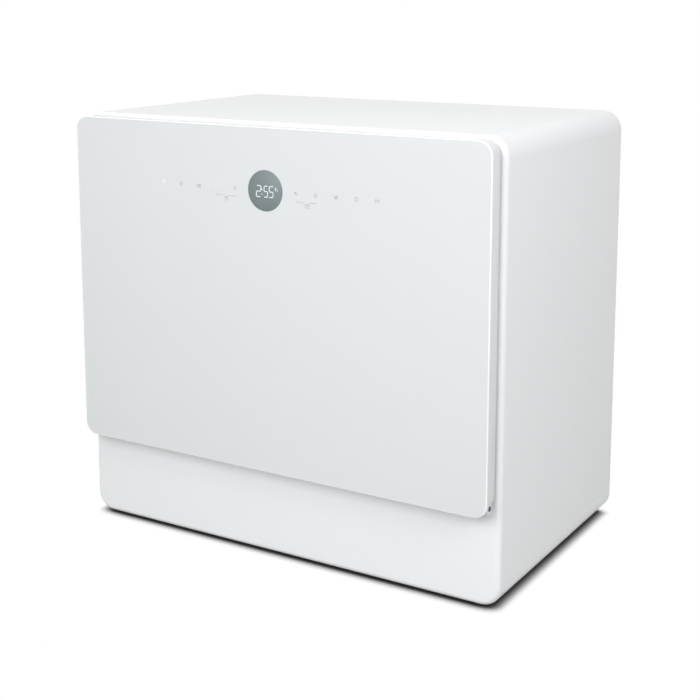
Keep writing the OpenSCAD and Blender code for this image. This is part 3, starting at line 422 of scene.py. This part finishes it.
# nodes whose sheet or colour differs from the rest of their finish
backSteel = brushed("tubBackSteel", (0.60, 0.605, 0.61), 0.27, along="X", drift=0.03)
filterMesh = perforated("filterMesh", (0.50, 0.505, 0.51), 0.30)
hingeSteel = brushed("hingeSteel", (0.10, 0.10, 0.105), 0.40, along="X")
ownSkins = {"tub_back": backSteel, "filter_plate": filterMesh, "door_hinges": hingeSteel}
slotOf = {}
for entry in frame["record"]["subparts"]:
    slotOf[entry["node"]] = entry["material_slot"]
    for holder in nodes[entry["node"]].material_slots:
        holder.material = ownSkins.get(entry["node"], skinOf[entry["material_slot"]])

# edge of the glass, lighter than the backed face: partly the real tone of clear glass at its edge,
# partly a painted highlight along the rim
glassEdgeHighlight = moulded("glassEdgeHighlight", (0.92, 0.94, 0.938), 0.10, spread=0.03, drift=0.05,
                    driftScale=30.0, grain=0, IOR=1.52)
printGrey = marked("printGrey", (0.36, 0.37, 0.38), 0.35)
litWhite = marked("litWhite", (0.92, 0.93, 0.94), 0.3, glow=0.16)
digitWhite = marked("digitWhite", (0.80, 0.88, 0.89), 0.3, glow=0.22)
print("skins for", len(skinOf), "finishes")


# makes a finished mesh a piece with the given skins that rides on a body and may stand for nodes
def addPiece(name, bm, skins, body, stands=(), sharpAt=32, turnOut=True):
    if turnOut:
        bmesh.ops.recalc_face_normals(bm, faces=bm.faces)
    mesh = bpy.data.meshes.new(name)
    bm.to_mesh(mesh)
    bm.free()
    mesh.shade_smooth()
    mesh.set_sharp_from_angle(angle=radians(sharpAt))
    for skin in skins:
        mesh.materials.append(skin)
    piece = bpy.data.objects.new(name, mesh)
    bpy.context.scene.collection.objects.link(piece)
    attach(piece, body)
    if stands:
        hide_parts(*stands)
    return piece


# closed loop of edges: an upright rounded rectangle with half sizes a and b, and corner radius r
def outline(bm, a, b, r, x, z, q, turns):
    half = pi / (4 * turns)
    ring = bmesh.ops.create_circle(bm, cap_ends=False, segments=4 * turns,
                                   radius=r * mm / cos(half))["verts"]
    bmesh.ops.rotate(bm, verts=ring, cent=(0, 0, 0), matrix=Matrix.Rotation(half, 3, "Z"))
    quarters = {(i, j): [v for v in ring if v.co.x * i > 0 and v.co.y * j > 0]
                for i in (-1, 1) for j in (-1, 1)}
    for (i, j), verts in quarters.items():
        bmesh.ops.translate(bm, verts=verts, vec=(i * (a - r) * mm, j * (b - r) * mm, 0))
    bmesh.ops.rotate(bm, verts=ring, cent=(0, 0, 0), matrix=Matrix.Rotation(pi / 2, 3, "X"))
    bmesh.ops.translate(bm, verts=ring, vec=at(x, q, z))
    return list({edge for v in ring for edge in v.link_edges})


# skin through a row of outlines, each given as (inset, depth) from the base outline
def loft(bm, base, path, closed=False, capFirst=False, capLast=False, turns=8, leastRadius=0.4):
    a, b, r, x, z = base
    rings = [outline(bm, a - inset, b - inset, max(r - inset, leastRadius), x, z, q, turns)
             for inset, q in path]
    for one, two in zip(rings, rings[1:] + (rings[:1] if closed else [])):
        bmesh.ops.bridge_loops(bm, edges=one + two)
    if capFirst:
        bmesh.ops.contextual_create(bm, geom=rings[0])
    if capLast:
        bmesh.ops.contextual_create(bm, geom=rings[-1])


# (inset, depth) steps of a quarter round from the side to the flat front
def quarter(q0, radius, steps=5):
    return [(radius * (1 - cos(pi / 2 * k / steps)), q0 - radius * sin(pi / 2 * k / steps))
            for k in range(steps + 1)]


# small block between two corners
def blockIn(bm, x0, x1, q0, q1, z0, z1):
    low, high = at(x0, q0, z0), at(x1, q1, z1)
    verts = bmesh.ops.create_cube(bm, size=1.0)["verts"]
    bmesh.ops.scale(bm, vec=high - low, verts=verts)
    bmesh.ops.translate(bm, vec=(low + high) / 2, verts=verts)


# straight bar on the glass from one point to another, a little longer so that bars meet
def bar(bm, x0, z0, x1, z1, width, q0, q1, overlap=0.6):
    length = ((x1 - x0) ** 2 + (z1 - z0) ** 2) ** 0.5
    verts = bmesh.ops.create_cube(bm, size=1.0)["verts"]
    bmesh.ops.scale(bm, vec=Vector((length + width * overlap, q1 - q0, width)) * mm, verts=verts)
    run = Vector((x1 - x0, 0, z1 - z0))
    turn = Vector((1, 0, 0)).rotation_difference(run).to_matrix()
    bmesh.ops.rotate(bm, verts=verts, cent=(0, 0, 0), matrix=turn)
    bmesh.ops.translate(bm, verts=verts, vec=at((x0 + x1) / 2, (q0 + q1) / 2, (z0 + z1) / 2))


# printed line through a row of points
def stroke(bm, points, width, q0, q1):
    for (x0, z0), (x1, z1) in zip(points, points[1:]):
        bar(bm, x0, z0, x1, z1, width, q0, q1)


# points along a part of a circle
def arc(x, z, radius, fromDeg, toDeg, steps=10):
    return [(x + radius * cos(radians(fromDeg + (toDeg - fromDeg) * k / steps)),
             z + radius * sin(radians(fromDeg + (toDeg - fromDeg) * k / steps)))
            for k in range(steps + 1)]


# round disc standing upright, with a small chamfer on its front rim
def disc(bm, x, z, radius, q0, q1, chamfer, segments):
    rings = []
    for size, q in ((radius - chamfer, q0), (radius, q0 + chamfer), (radius, q1)):
        verts = bmesh.ops.create_circle(bm, cap_ends=False, segments=segments,
                                        radius=size * mm)["verts"]
        bmesh.ops.rotate(bm, verts=verts, cent=(0, 0, 0), matrix=Matrix.Rotation(pi / 2, 3, "X"))
        bmesh.ops.translate(bm, verts=verts, vec=at(x, q, z))
        rings.append(list({edge for v in verts for edge in v.link_edges}))
    for one, two in zip(rings, rings[1:]):
        bmesh.ops.bridge_loops(bm, edges=one + two)
    bmesh.ops.contextual_create(bm, geom=rings[0])
    bmesh.ops.contextual_create(bm, geom=rings[-1])


# front glass: its size, the depth of its face, and its edges
glass = {"halfWidth": 237, "low": 95, "high": 437.5, "corner": 14, "thick": 4, "face": 0.16,
         "edgeRound": 0.9, "flatInset": 1.5, "backInset": 0.9, "backChamfer": (0.25, 0.3),
         "edgeFrom": 0.02, "turns": 16}


# white backed panel: flat back, small chamfer behind and a rounded edge in front
def buildGlass():
    base = (glass["halfWidth"], (glass["high"] - glass["low"]) / 2, glass["corner"], 0,
            (glass["low"] + glass["high"]) / 2)
    face, back, turned = glass["face"], glass["thick"], glass["edgeRound"]
    inset, depth = glass["backChamfer"]
    path = [(glass["backInset"], back), (inset, back), (0, back - depth)]
    path += quarter(face + turned, turned)
    path.append((glass["flatInset"], face))
    bm = bmesh.new()
    loft(bm, base, path, capFirst=True, capLast=True, turns=glass["turns"])
    edgeY = at(0, face + glass["edgeFrom"], 0).y  # what lies behind it has the edge's skin
    # the edge's skin paints a bright highlight along the rounded rim and the sides of the glass
    for facet in bm.faces:
        facet.material_index = 1 if facet.calc_center_median().y > edgeY else 0
    addPiece("frontGlass", bm, [skinOf["door_glass"], glassEdgeHighlight], "door",
             ["door_glass"], sharpAt=50)


# strokes of each printed key, about its own middle, in millimetres
def keyStrokes(kind, x, z):
    if kind == "power":
        return [arc(x, z, 1.75, 118, 422, 18), [(x, z + 0.2), (x, z + 2.2)]]
    if kind == "pot":
        return [[(x - 1.7, z + 0.6), (x + 1.7, z + 0.6)], arc(x, z + 0.5, 1.5, 180, 360, 8),
                [(x - 0.5, z + 1.7), (x + 0.5, z + 1.7)], [(x - 1.4, z - 1.9), (x + 1.4, z - 1.9)]]
    if kind == "plates":
        return [arc(x, z + 1.2, 2.3, 205, 335, 8), [(x - 2.1, z + 0.3), (x + 2.1, z + 0.3)],
                arc(x, z - 0.3, 2.3, 205, 335, 8)]
    if kind == "pair":
        return [arc(x - 1.4, z, 0.9, 0, 360, 12), arc(x + 1.4, z, 0.9, 0, 360, 12)]
    if kind == "glass":
        return [arc(x, z + 1.3, 1.2, 180, 360, 8), [(x - 1.2, z + 1.3), (x - 1.0, z + 2.2)],
                [(x + 1.2, z + 1.3), (x + 1.0, z + 2.2)], [(x, z + 0.1), (x, z - 1.9)],
                [(x - 1.0, z - 2.0), (x + 1.0, z - 2.0)]]
    if kind == "leaf":
        return [arc(x - 0.3, z - 0.6, 2.0, 60, 150, 7), arc(x + 0.9, z + 1.6, 2.4, 215, 300, 7),
                [(x - 1.9, z - 0.6), (x - 0.3, z + 0.6)]]
    if kind == "bowl":
        return [arc(x, z - 0.1, 1.8, 180, 360, 10), [(x - 1.8, z - 0.1), (x + 1.8, z - 0.1)],
                [(x - 0.8, z + 0.9), (x - 0.8, z + 2.0)], [(x + 0.6, z + 0.9), (x + 0.6, z + 2.0)]]
    if kind == "cups":
        return [[(x - 1.9, z + 1.3), (x - 1.9, z - 1.5), (x - 0.4, z - 1.5), (x - 0.4, z + 1.3)],
                arc(x + 1.1, z - 0.5, 1.0, 0, 360, 12), [(x + 0.2, z + 1.5), (x + 2.0, z + 1.5)]]
    if kind == "drop":
        return [arc(x, z - 0.5, 1.5, 135, 405, 12), [(x - 1.06, z + 0.56), (x, z + 2.2)],
                [(x + 1.06, z + 0.56), (x, z + 2.2)]]
    return [[(x - 1.9, z + 1.5), (x - 1.9, z - 1.5), (x + 0.3, z), (x - 1.9, z + 1.5)],
            [(x + 1.1, z + 1.5), (x + 1.1, z - 1.5)], [(x + 2.1, z + 1.5), (x + 2.1, z - 1.5)]]


# printed keys, five on each side of the display, from the middle outwards
keys = {"height": 376.4, "first": 35.2, "step": 22, "line": 0.42, "litWider": 1.5,
        "proud": 0.05, "sunk": 0.2, "left": ("glass", "pair", "plates", "pot", "power"),
        "right": ("leaf", "bowl", "cups", "drop", "start"), "lit": ("pair", "power"),
        "brackets": ((-58.4, -34.3, 368.5), (35.4, 57.4, 368.6)), "bracketEnd": 1.0,
        "bracketGap": 2.9,
        "lock": ((-47.7, 366.6), (-44.3, 366.6), (-44.3, 363.8), (-47.7, 363.8), (-47.7, 366.6)),
        "lockBow": (-46, 366.6, 1.15),
        "drawer": ((45.6, 367.3), (45.6, 363.6), (49.6, 363.6), (49.6, 367.3)),
        "drawerLid": ((46.8, 365.8), (48.4, 365.8), (48.4, 367.0), (46.8, 367.0),
                      (46.8, 365.8))}


def buildKeys():
    z, line, gap = keys["height"], keys["line"], keys["bracketGap"]
    q0, q1 = glass["face"] - keys["proud"], glass["face"] + keys["sunk"]
    printed, lit = bmesh.new(), bmesh.new()
    for side, kinds in ((-1, keys["left"]), (1, keys["right"])):
        for k, kind in enumerate(kinds):
            x = side * (keys["first"] + k * keys["step"])
            target, width = printed, line
            if kind in keys["lit"]:
                target, width = lit, line * keys["litWider"]
            for points in keyStrokes(kind, x, z):
                stroke(target, points, width, q0, q1)
    # brackets that join two keys, with a lock and a drawer below
    for left, right, low in keys["brackets"]:
        middle, end = (left + right) / 2, low + keys["bracketEnd"]
        stroke(printed, [(left, end), (left, low), (middle - gap, low)], line, q0, q1)
        stroke(printed, [(middle + gap, low), (right, low), (right, end)], line, q0, q1)
    x, z, radius = keys["lockBow"]
    for points in (keys["lock"], arc(x, z, radius, 0, 180, 8), keys["drawer"],
                   keys["drawerLid"]):
        stroke(printed, points, line, q0, q1)
    addPiece("keyPrints", printed, [printGrey], "door", sharpAt=30)
    addPiece("litKeys", lit, [litWhite], "door", sharpAt=30)


# seven bars of a figure: top, upper right, lower right, bottom, lower left, upper left, middle
display = {"radius": 20, "proud": 0.06, "sunk": 1.0, "chamfer": 0.05, "segments": 96,
           "bars": {"2": (0, 1, 3, 4, 6), "5": (0, 2, 3, 5, 6)}, "lean": 0.05, "gap": 0.55,
           "low": -6.0, "high": 4.6, "line": 0.72, "figureProud": 0.12, "figureSunk": 0.1,
           "figures": (("2", -10.3, -5.3), ("5", -1.6, 2.7), ("5", 4.4, 8.9)),
           "colonX": -3.75, "colonZ": (-3.4, 1.4), "colonLine": 0.9, "colonHalf": 0.25,
           "unitX": 11.6, "unitLow": 0.2, "unitHigh": 4.2, "unitBow": 1.15,
           "unitShoulder": 1.6, "unitLine": 0.45}


# the bars of one figure, leaning to the right, with a gap where two of them meet
def digitStrokes(sign, x0, x1, low, high):
    centre = (low + high) / 2
    gap, lean = display["gap"], display["lean"]
    corners = {"tl": (x0, high), "tr": (x1, high), "ml": (x0, centre), "mr": (x1, centre),
               "bl": (x0, low), "br": (x1, low)}
    rows = [("tl", "tr"), ("tr", "mr"), ("mr", "br"), ("bl", "br"), ("ml", "bl"), ("tl", "ml"),
            ("ml", "mr")]
    for index in display["bars"][sign]:
        (ax, az), (bx, bz) = corners[rows[index][0]], corners[rows[index][1]]
        length = max(abs(bx - ax), abs(bz - az))
        dx, dz = (bx - ax) / length * gap, (bz - az) / length * gap
        yield [(ax + dx + (az + dz - low) * lean, az + dz),
               (bx - dx + (bz - dz - low) * lean, bz - dz)]


# round dark window with the figures of a timer, and the h of its hours
def buildDisplay():
    z, face = keys["height"], glass["face"]
    bm = bmesh.new()
    disc(bm, 0, z, display["radius"], face - display["proud"], face + display["sunk"],
         display["chamfer"], display["segments"])
    addPiece("displayDisc", bm, [skinOf["display"]], "door", sharpAt=60)
    bm = bmesh.new()
    q0, q1 = face - display["figureProud"], face + display["figureSunk"]
    for sign, x0, x1 in display["figures"]:
        for points in digitStrokes(sign, x0, x1, z + display["low"], z + display["high"]):
            stroke(bm, points, display["line"], q0, q1)
    x, half = display["colonX"], display["colonHalf"]
    for dz in display["colonZ"]:
        bar(bm, x, z + dz - half, x, z + dz + half, display["colonLine"], q0, q1)
    x, bow, foot = display["unitX"], display["unitBow"], z + display["unitLow"]
    for points in ([(x, foot), (x, z + display["unitHigh"])],
                   arc(x + bow, z + display["unitShoulder"], bow, 180, 0, 6)
                   + [(x + 2 * bow, foot)]):
        stroke(bm, points, display["unitLine"], q0, q1)
    addPiece("displayDigits", bm, [digitWhite], "door", sharpAt=30)


buildGlass()
buildKeys()
buildDisplay()
print("door front: glass, keys and display")


bodyOf = {node: body for body, held in frame["record"]["behaviour"]["bodies"].items()
          for node in held}
softEdges = {"flatWithin": 0.8, "sharperThan": 38, "segments": 2}  # angles in degrees


# merged copy of a CAD node with its flat faces joined and its sharp edges rounded off
def refine(node, width):
    bm = bmesh.new()
    bm.from_mesh(nodes[node].data)
    bmesh.ops.remove_doubles(bm, verts=bm.verts, dist=mergeWithin)
    bmesh.ops.dissolve_limit(bm, angle_limit=radians(softEdges["flatWithin"]), verts=bm.verts,
                             edges=bm.edges)
    slotName = slotOf[node]
    piece = addPiece(node + "Soft", bm, [ownSkins.get(node, skinOf[slotName])], bodyOf[node],
                     [node], turnOut=False)
    edges = piece.modifiers.new("softEdges", "BEVEL")
    edges.width = width * mm
    edges.segments = softEdges["segments"]
    edges.limit_method = "ANGLE"
    edges.angle_limit = radians(softEdges["sharperThan"])


# width of the rounded edges of each node, in millimetres
edgeWidths = {"door_frame": 0.7, "door_liner": 0.35, "tub_back": 0.3, "back_cover": 0.4,
              "back_pockets": 0.4, "feet": 0.7, "rails": 0.8, "side_supports": 0.35,
              "door_hinges": 0.4, "base_tray": 0.4, "sump": 0.5, "filter_cup": 0.3,
              "filter_plate": 0.3, "spray_riser": 0.5, "spray_arm": 0.8, "arm_nut": 0.7,
              "float_guide": 0.4, "float": 0.8, "salt_cap": 0.7, "pump_housing": 0.7,
              "pump_motor": 0.8, "drain_pump": 0.7, "heater": 0.5, "drain_spigot": 0.4,
              "inlet_valve": 0.4, "air_break": 0.8, "power_module": 0.7, "power_inlet": 0.5,
              "lock_housing": 0.6, "door_tongue": 0.4, "control_board": 0.25,
              "dispenser_body": 0.6, "dispenser_lid": 0.6, "rinse_cap": 0.8,
              "wheel_clips": 0.5, "wheel_fl": 0.5, "wheel_fr": 0.5, "wheel_rl": 0.5,
              "wheel_rr": 0.5, "cutlery_basket": 0.45, "sound_mat": 0.8}
for node, width in edgeWidths.items():
    refine(node, width)
print("rounded the edges of", len(edgeWidths), "pieces")

# rack of coated wire, with its places as in the frame
rack = {"halfWidth": 196, "front": 64, "back": 260, "floor": 149.75, "longFloor": 152.55,
        "top": 234, "middle": 191, "middleOut": 2.1, "wire": 1.75, "rim": 2.5, "bend": 9,
        "corner": 14, "crossWires": 7, "firstCross": 6, "longWires": 9, "firstLong": 22,
        "spineRows": (-62, 38), "spines": 6, "firstSpine": 28, "spineStep": 27,
        "spineFoot": 153.25, "spineTop": 210, "baseInset": 4, "tipSize": 1.12,
        "tipWire": 1, "tipCentre": 2, "eyes": (78, 240), "eyeX": -189, "eyeZ": 238,
        "eyeRadius": 4.5, "eyeBore": 2.08, "eyeLength": 6, "eyeChamfer": 0.5,
        "webSide": 1.5, "webInset": 0.6, "webFoot": 1, "webTop": 2.6}


# points of a bent wire: every inner corner becomes a curve of the given size
def bent(points, size, steps=6):
    path = [points[0]]
    for before, corner, after in zip(points, points[1:], points[2:]):
        cut = min(size * mm, (before - corner).length / 2, (after - corner).length / 2)
        start = corner + (before - corner).normalized() * cut
        end = corner + (after - corner).normalized() * cut
        for k in range(steps + 1):
            t = k / steps
            path.append(start * (1 - t) ** 2 + corner * 2 * t * (1 - t) + end * t ** 2)
    return path + [points[-1]]


# one mesh of round wires from rows of (points, radius in millimetres, closed or not)
def wiresMesh(name, rows, resolution=2):
    data = bpy.data.curves.new(name, "CURVE")
    data.dimensions = "3D"
    data.bevel_depth = 1.0
    data.bevel_resolution = resolution
    data.use_fill_caps = True
    for points, radius, loop in rows:
        spline = data.splines.new("POLY")
        spline.points.add(len(points) - 1)
        for held, place in zip(spline.points, points):
            held.co = (*place, 1)
            held.radius = radius * mm
        spline.use_cyclic_u = loop
    holder = bpy.data.objects.new(name, data)
    bpy.context.scene.collection.objects.link(holder)
    bpy.context.view_layer.update()
    ready = holder.evaluated_get(bpy.context.evaluated_depsgraph_get())
    bm = bmesh.new()
    bm.from_mesh(ready.to_mesh())
    ready.to_mesh_clear()
    bpy.data.objects.remove(holder)
    bpy.data.curves.remove(data)
    bmesh.ops.remove_doubles(bm, verts=bm.verts, dist=mergeWithin)
    return bm


# level loop of wire with rounded corners, begun in the middle of its front side
def wireLoop(halfX, q0, q1, z, size):
    corners = [at(-halfX, q0, z), at(halfX, q0, z), at(halfX, q1, z), at(-halfX, q1, z)]
    middle = (corners[0] + corners[1]) / 2
    return bent([middle] + corners[1:] + [corners[0], middle], size)[:-1]


# the floor, the sides and the rims, with the two eyes that hold the cup shelf
def buildBasketWires():
    half, front, back = rack["halfWidth"], rack["front"], rack["back"]
    wire, top = rack["wire"], rack["top"]
    rows = []
    step = (back - front - 2 * rack["firstCross"]) / (rack["crossWires"] - 1)
    for k in range(rack["crossWires"]):
        q, z = front + rack["firstCross"] + k * step, rack["floor"]
        corners = [at(-half, q, top), at(-half, q, z), at(half, q, z), at(half, q, top)]
        rows.append((bent(corners, rack["bend"]), wire, False))
    reach = half - rack["firstLong"]
    for k in range(rack["longWires"]):
        x, z = -reach + k * reach * 2 / (rack["longWires"] - 1), rack["longFloor"]
        corners = [at(x, front, top), at(x, front, z), at(x, back, z), at(x, back, top)]
        rows.append((bent(corners, rack["bend"]), wire, False))
    out, corner = rack["middleOut"], rack["corner"]
    rows.append((wireLoop(half, front, back, top, corner), rack["rim"], True))
    rows.append((wireLoop(half + out, front - out, back + out, rack["middle"], corner),
                 wire, True))
    bm = wiresMesh("rackWires", rows)
    size, length, chamfer = rack["eyeRadius"], rack["eyeLength"], rack["eyeChamfer"]
    bore = size - rack["eyeBore"]
    for q in rack["eyes"]:
        loft(bm, (size, size, size, rack["eyeX"], rack["eyeZ"]),
             [(0, q + chamfer), (0, q + length - chamfer), (chamfer, q + length),
              (bore, q + length), (bore, q), (chamfer, q)], closed=True)
        # short web down to the rim
        side, inset = rack["webSide"], rack["webInset"]
        blockIn(bm, -half - side, rack["eyeX"] + side, q + inset, q + length - inset,
                top - rack["webFoot"], rack["eyeZ"] - rack["webTop"])
    addPiece("rackWires", bm, [skinOf["rack_wire"]], "rack",
             ["rack_floor", "rack_ends", "rack_sides"], sharpAt=50)


# two rows of upright wires with soft tips, which hold the plates
def buildPlateSpines():
    wire, foot, top = rack["wire"], rack["spineFoot"], rack["spineTop"]
    spots = [rack["front"] + rack["firstSpine"] + k * rack["spineStep"]
             for k in range(rack["spines"])]
    rows = []
    for x in rack["spineRows"]:
        rows.append(([at(x, rack["front"] + rack["baseInset"], foot),
                      at(x, rack["back"] - rack["baseInset"], foot)], wire, False))
        for q in spots:
            rows.append(([at(x, q, foot), at(x, q, top - rack["tipWire"])], wire, False))
    bm = wiresMesh("plateSpines", rows)
    for x in rack["spineRows"]:
        for q in spots:
            ball = bmesh.ops.create_uvsphere(bm, u_segments=14, v_segments=8,
                                             radius=wire * rack["tipSize"] * mm)["verts"]
            bmesh.ops.translate(bm, verts=ball, vec=at(x, q, top - rack["tipCentre"]))
    addPiece("plateSpines", bm, [skinOf["rack_wire"]], "rack", ["plate_spines"],
             sharpAt=50)


# long soft beads pressed into the sheet of the tub and of the door liner
pressed = {"sunk": 0.02, "tubBackQ": 274, "tubBackZ": (175, 215, 355), "tubBackHalf": 180,
           "tubWallX": 217, "tubWallQ": 168, "tubWallZ": (200, 300), "tubWallHalf": 78,
           "tubHeight": 1.2, "tubHalfWidth": 8.5, "linerQ": 24, "linerZ": (173.5, 357.5),
           "linerHalf": 165, "linerHeight": 1.3, "linerHalfWidth": 7.5}
beadProfile = ((0, 0), (0.16, 0.12), (0.42, 0.62), (0.62, 0.92), (0.8, 1))  # inset, height


# one bead on the sheet at depth q, which rises to the back, or to the front below zero
def bead(bm, half, halfWidth, z, q, rise):
    steps = [(halfWidth * inset, q + rise * height) for inset, height in beadProfile]
    loft(bm, (half, halfWidth, halfWidth, 0, z), steps, capLast=True)


def buildBeads():
    width, rise = pressed["tubHalfWidth"], -pressed["tubHeight"]
    bm = bmesh.new()
    for z in pressed["tubBackZ"]:
        bead(bm, pressed["tubBackHalf"], width, z, pressed["tubBackQ"] + pressed["sunk"], rise)
    addPiece("tubBackBeads", bm, [backSteel], "body", sharpAt=50)
    bm = bmesh.new()
    for side in (-1, 1):
        for z in pressed["tubWallZ"]:
            # made upright at the origin, turned to face inwards and moved to its wall
            single = bmesh.new()
            bead(single, pressed["tubWallHalf"], width, 0, 0, rise)
            bmesh.ops.translate(single, verts=single.verts, vec=-at(0, 0, 0))
            bmesh.ops.rotate(single, verts=single.verts, cent=(0, 0, 0),
                             matrix=Matrix.Rotation(-side * pi / 2, 3, "Z"))
            bmesh.ops.translate(single, verts=single.verts,
                                vec=at(side * (pressed["tubWallX"] + pressed["sunk"]),
                                       pressed["tubWallQ"], z))
            held = bpy.data.meshes.new("oneBead")
            single.to_mesh(held)
            single.free()
            bm.from_mesh(held)
            bpy.data.meshes.remove(held)
    addPiece("tubWallBeads", bm, [skinOf["tub_steel"]], "body", sharpAt=50)
    bm = bmesh.new()
    for z in pressed["linerZ"]:
        bead(bm, pressed["linerHalf"], pressed["linerHalfWidth"], z,
             pressed["linerQ"] - pressed["sunk"], pressed["linerHeight"])
    addPiece("linerBeads", bm, [skinOf["liner_steel"]], "door", sharpAt=50)


buildBasketWires()
buildPlateSpines()
buildBeads()
print("rack wires and pressed beads made")
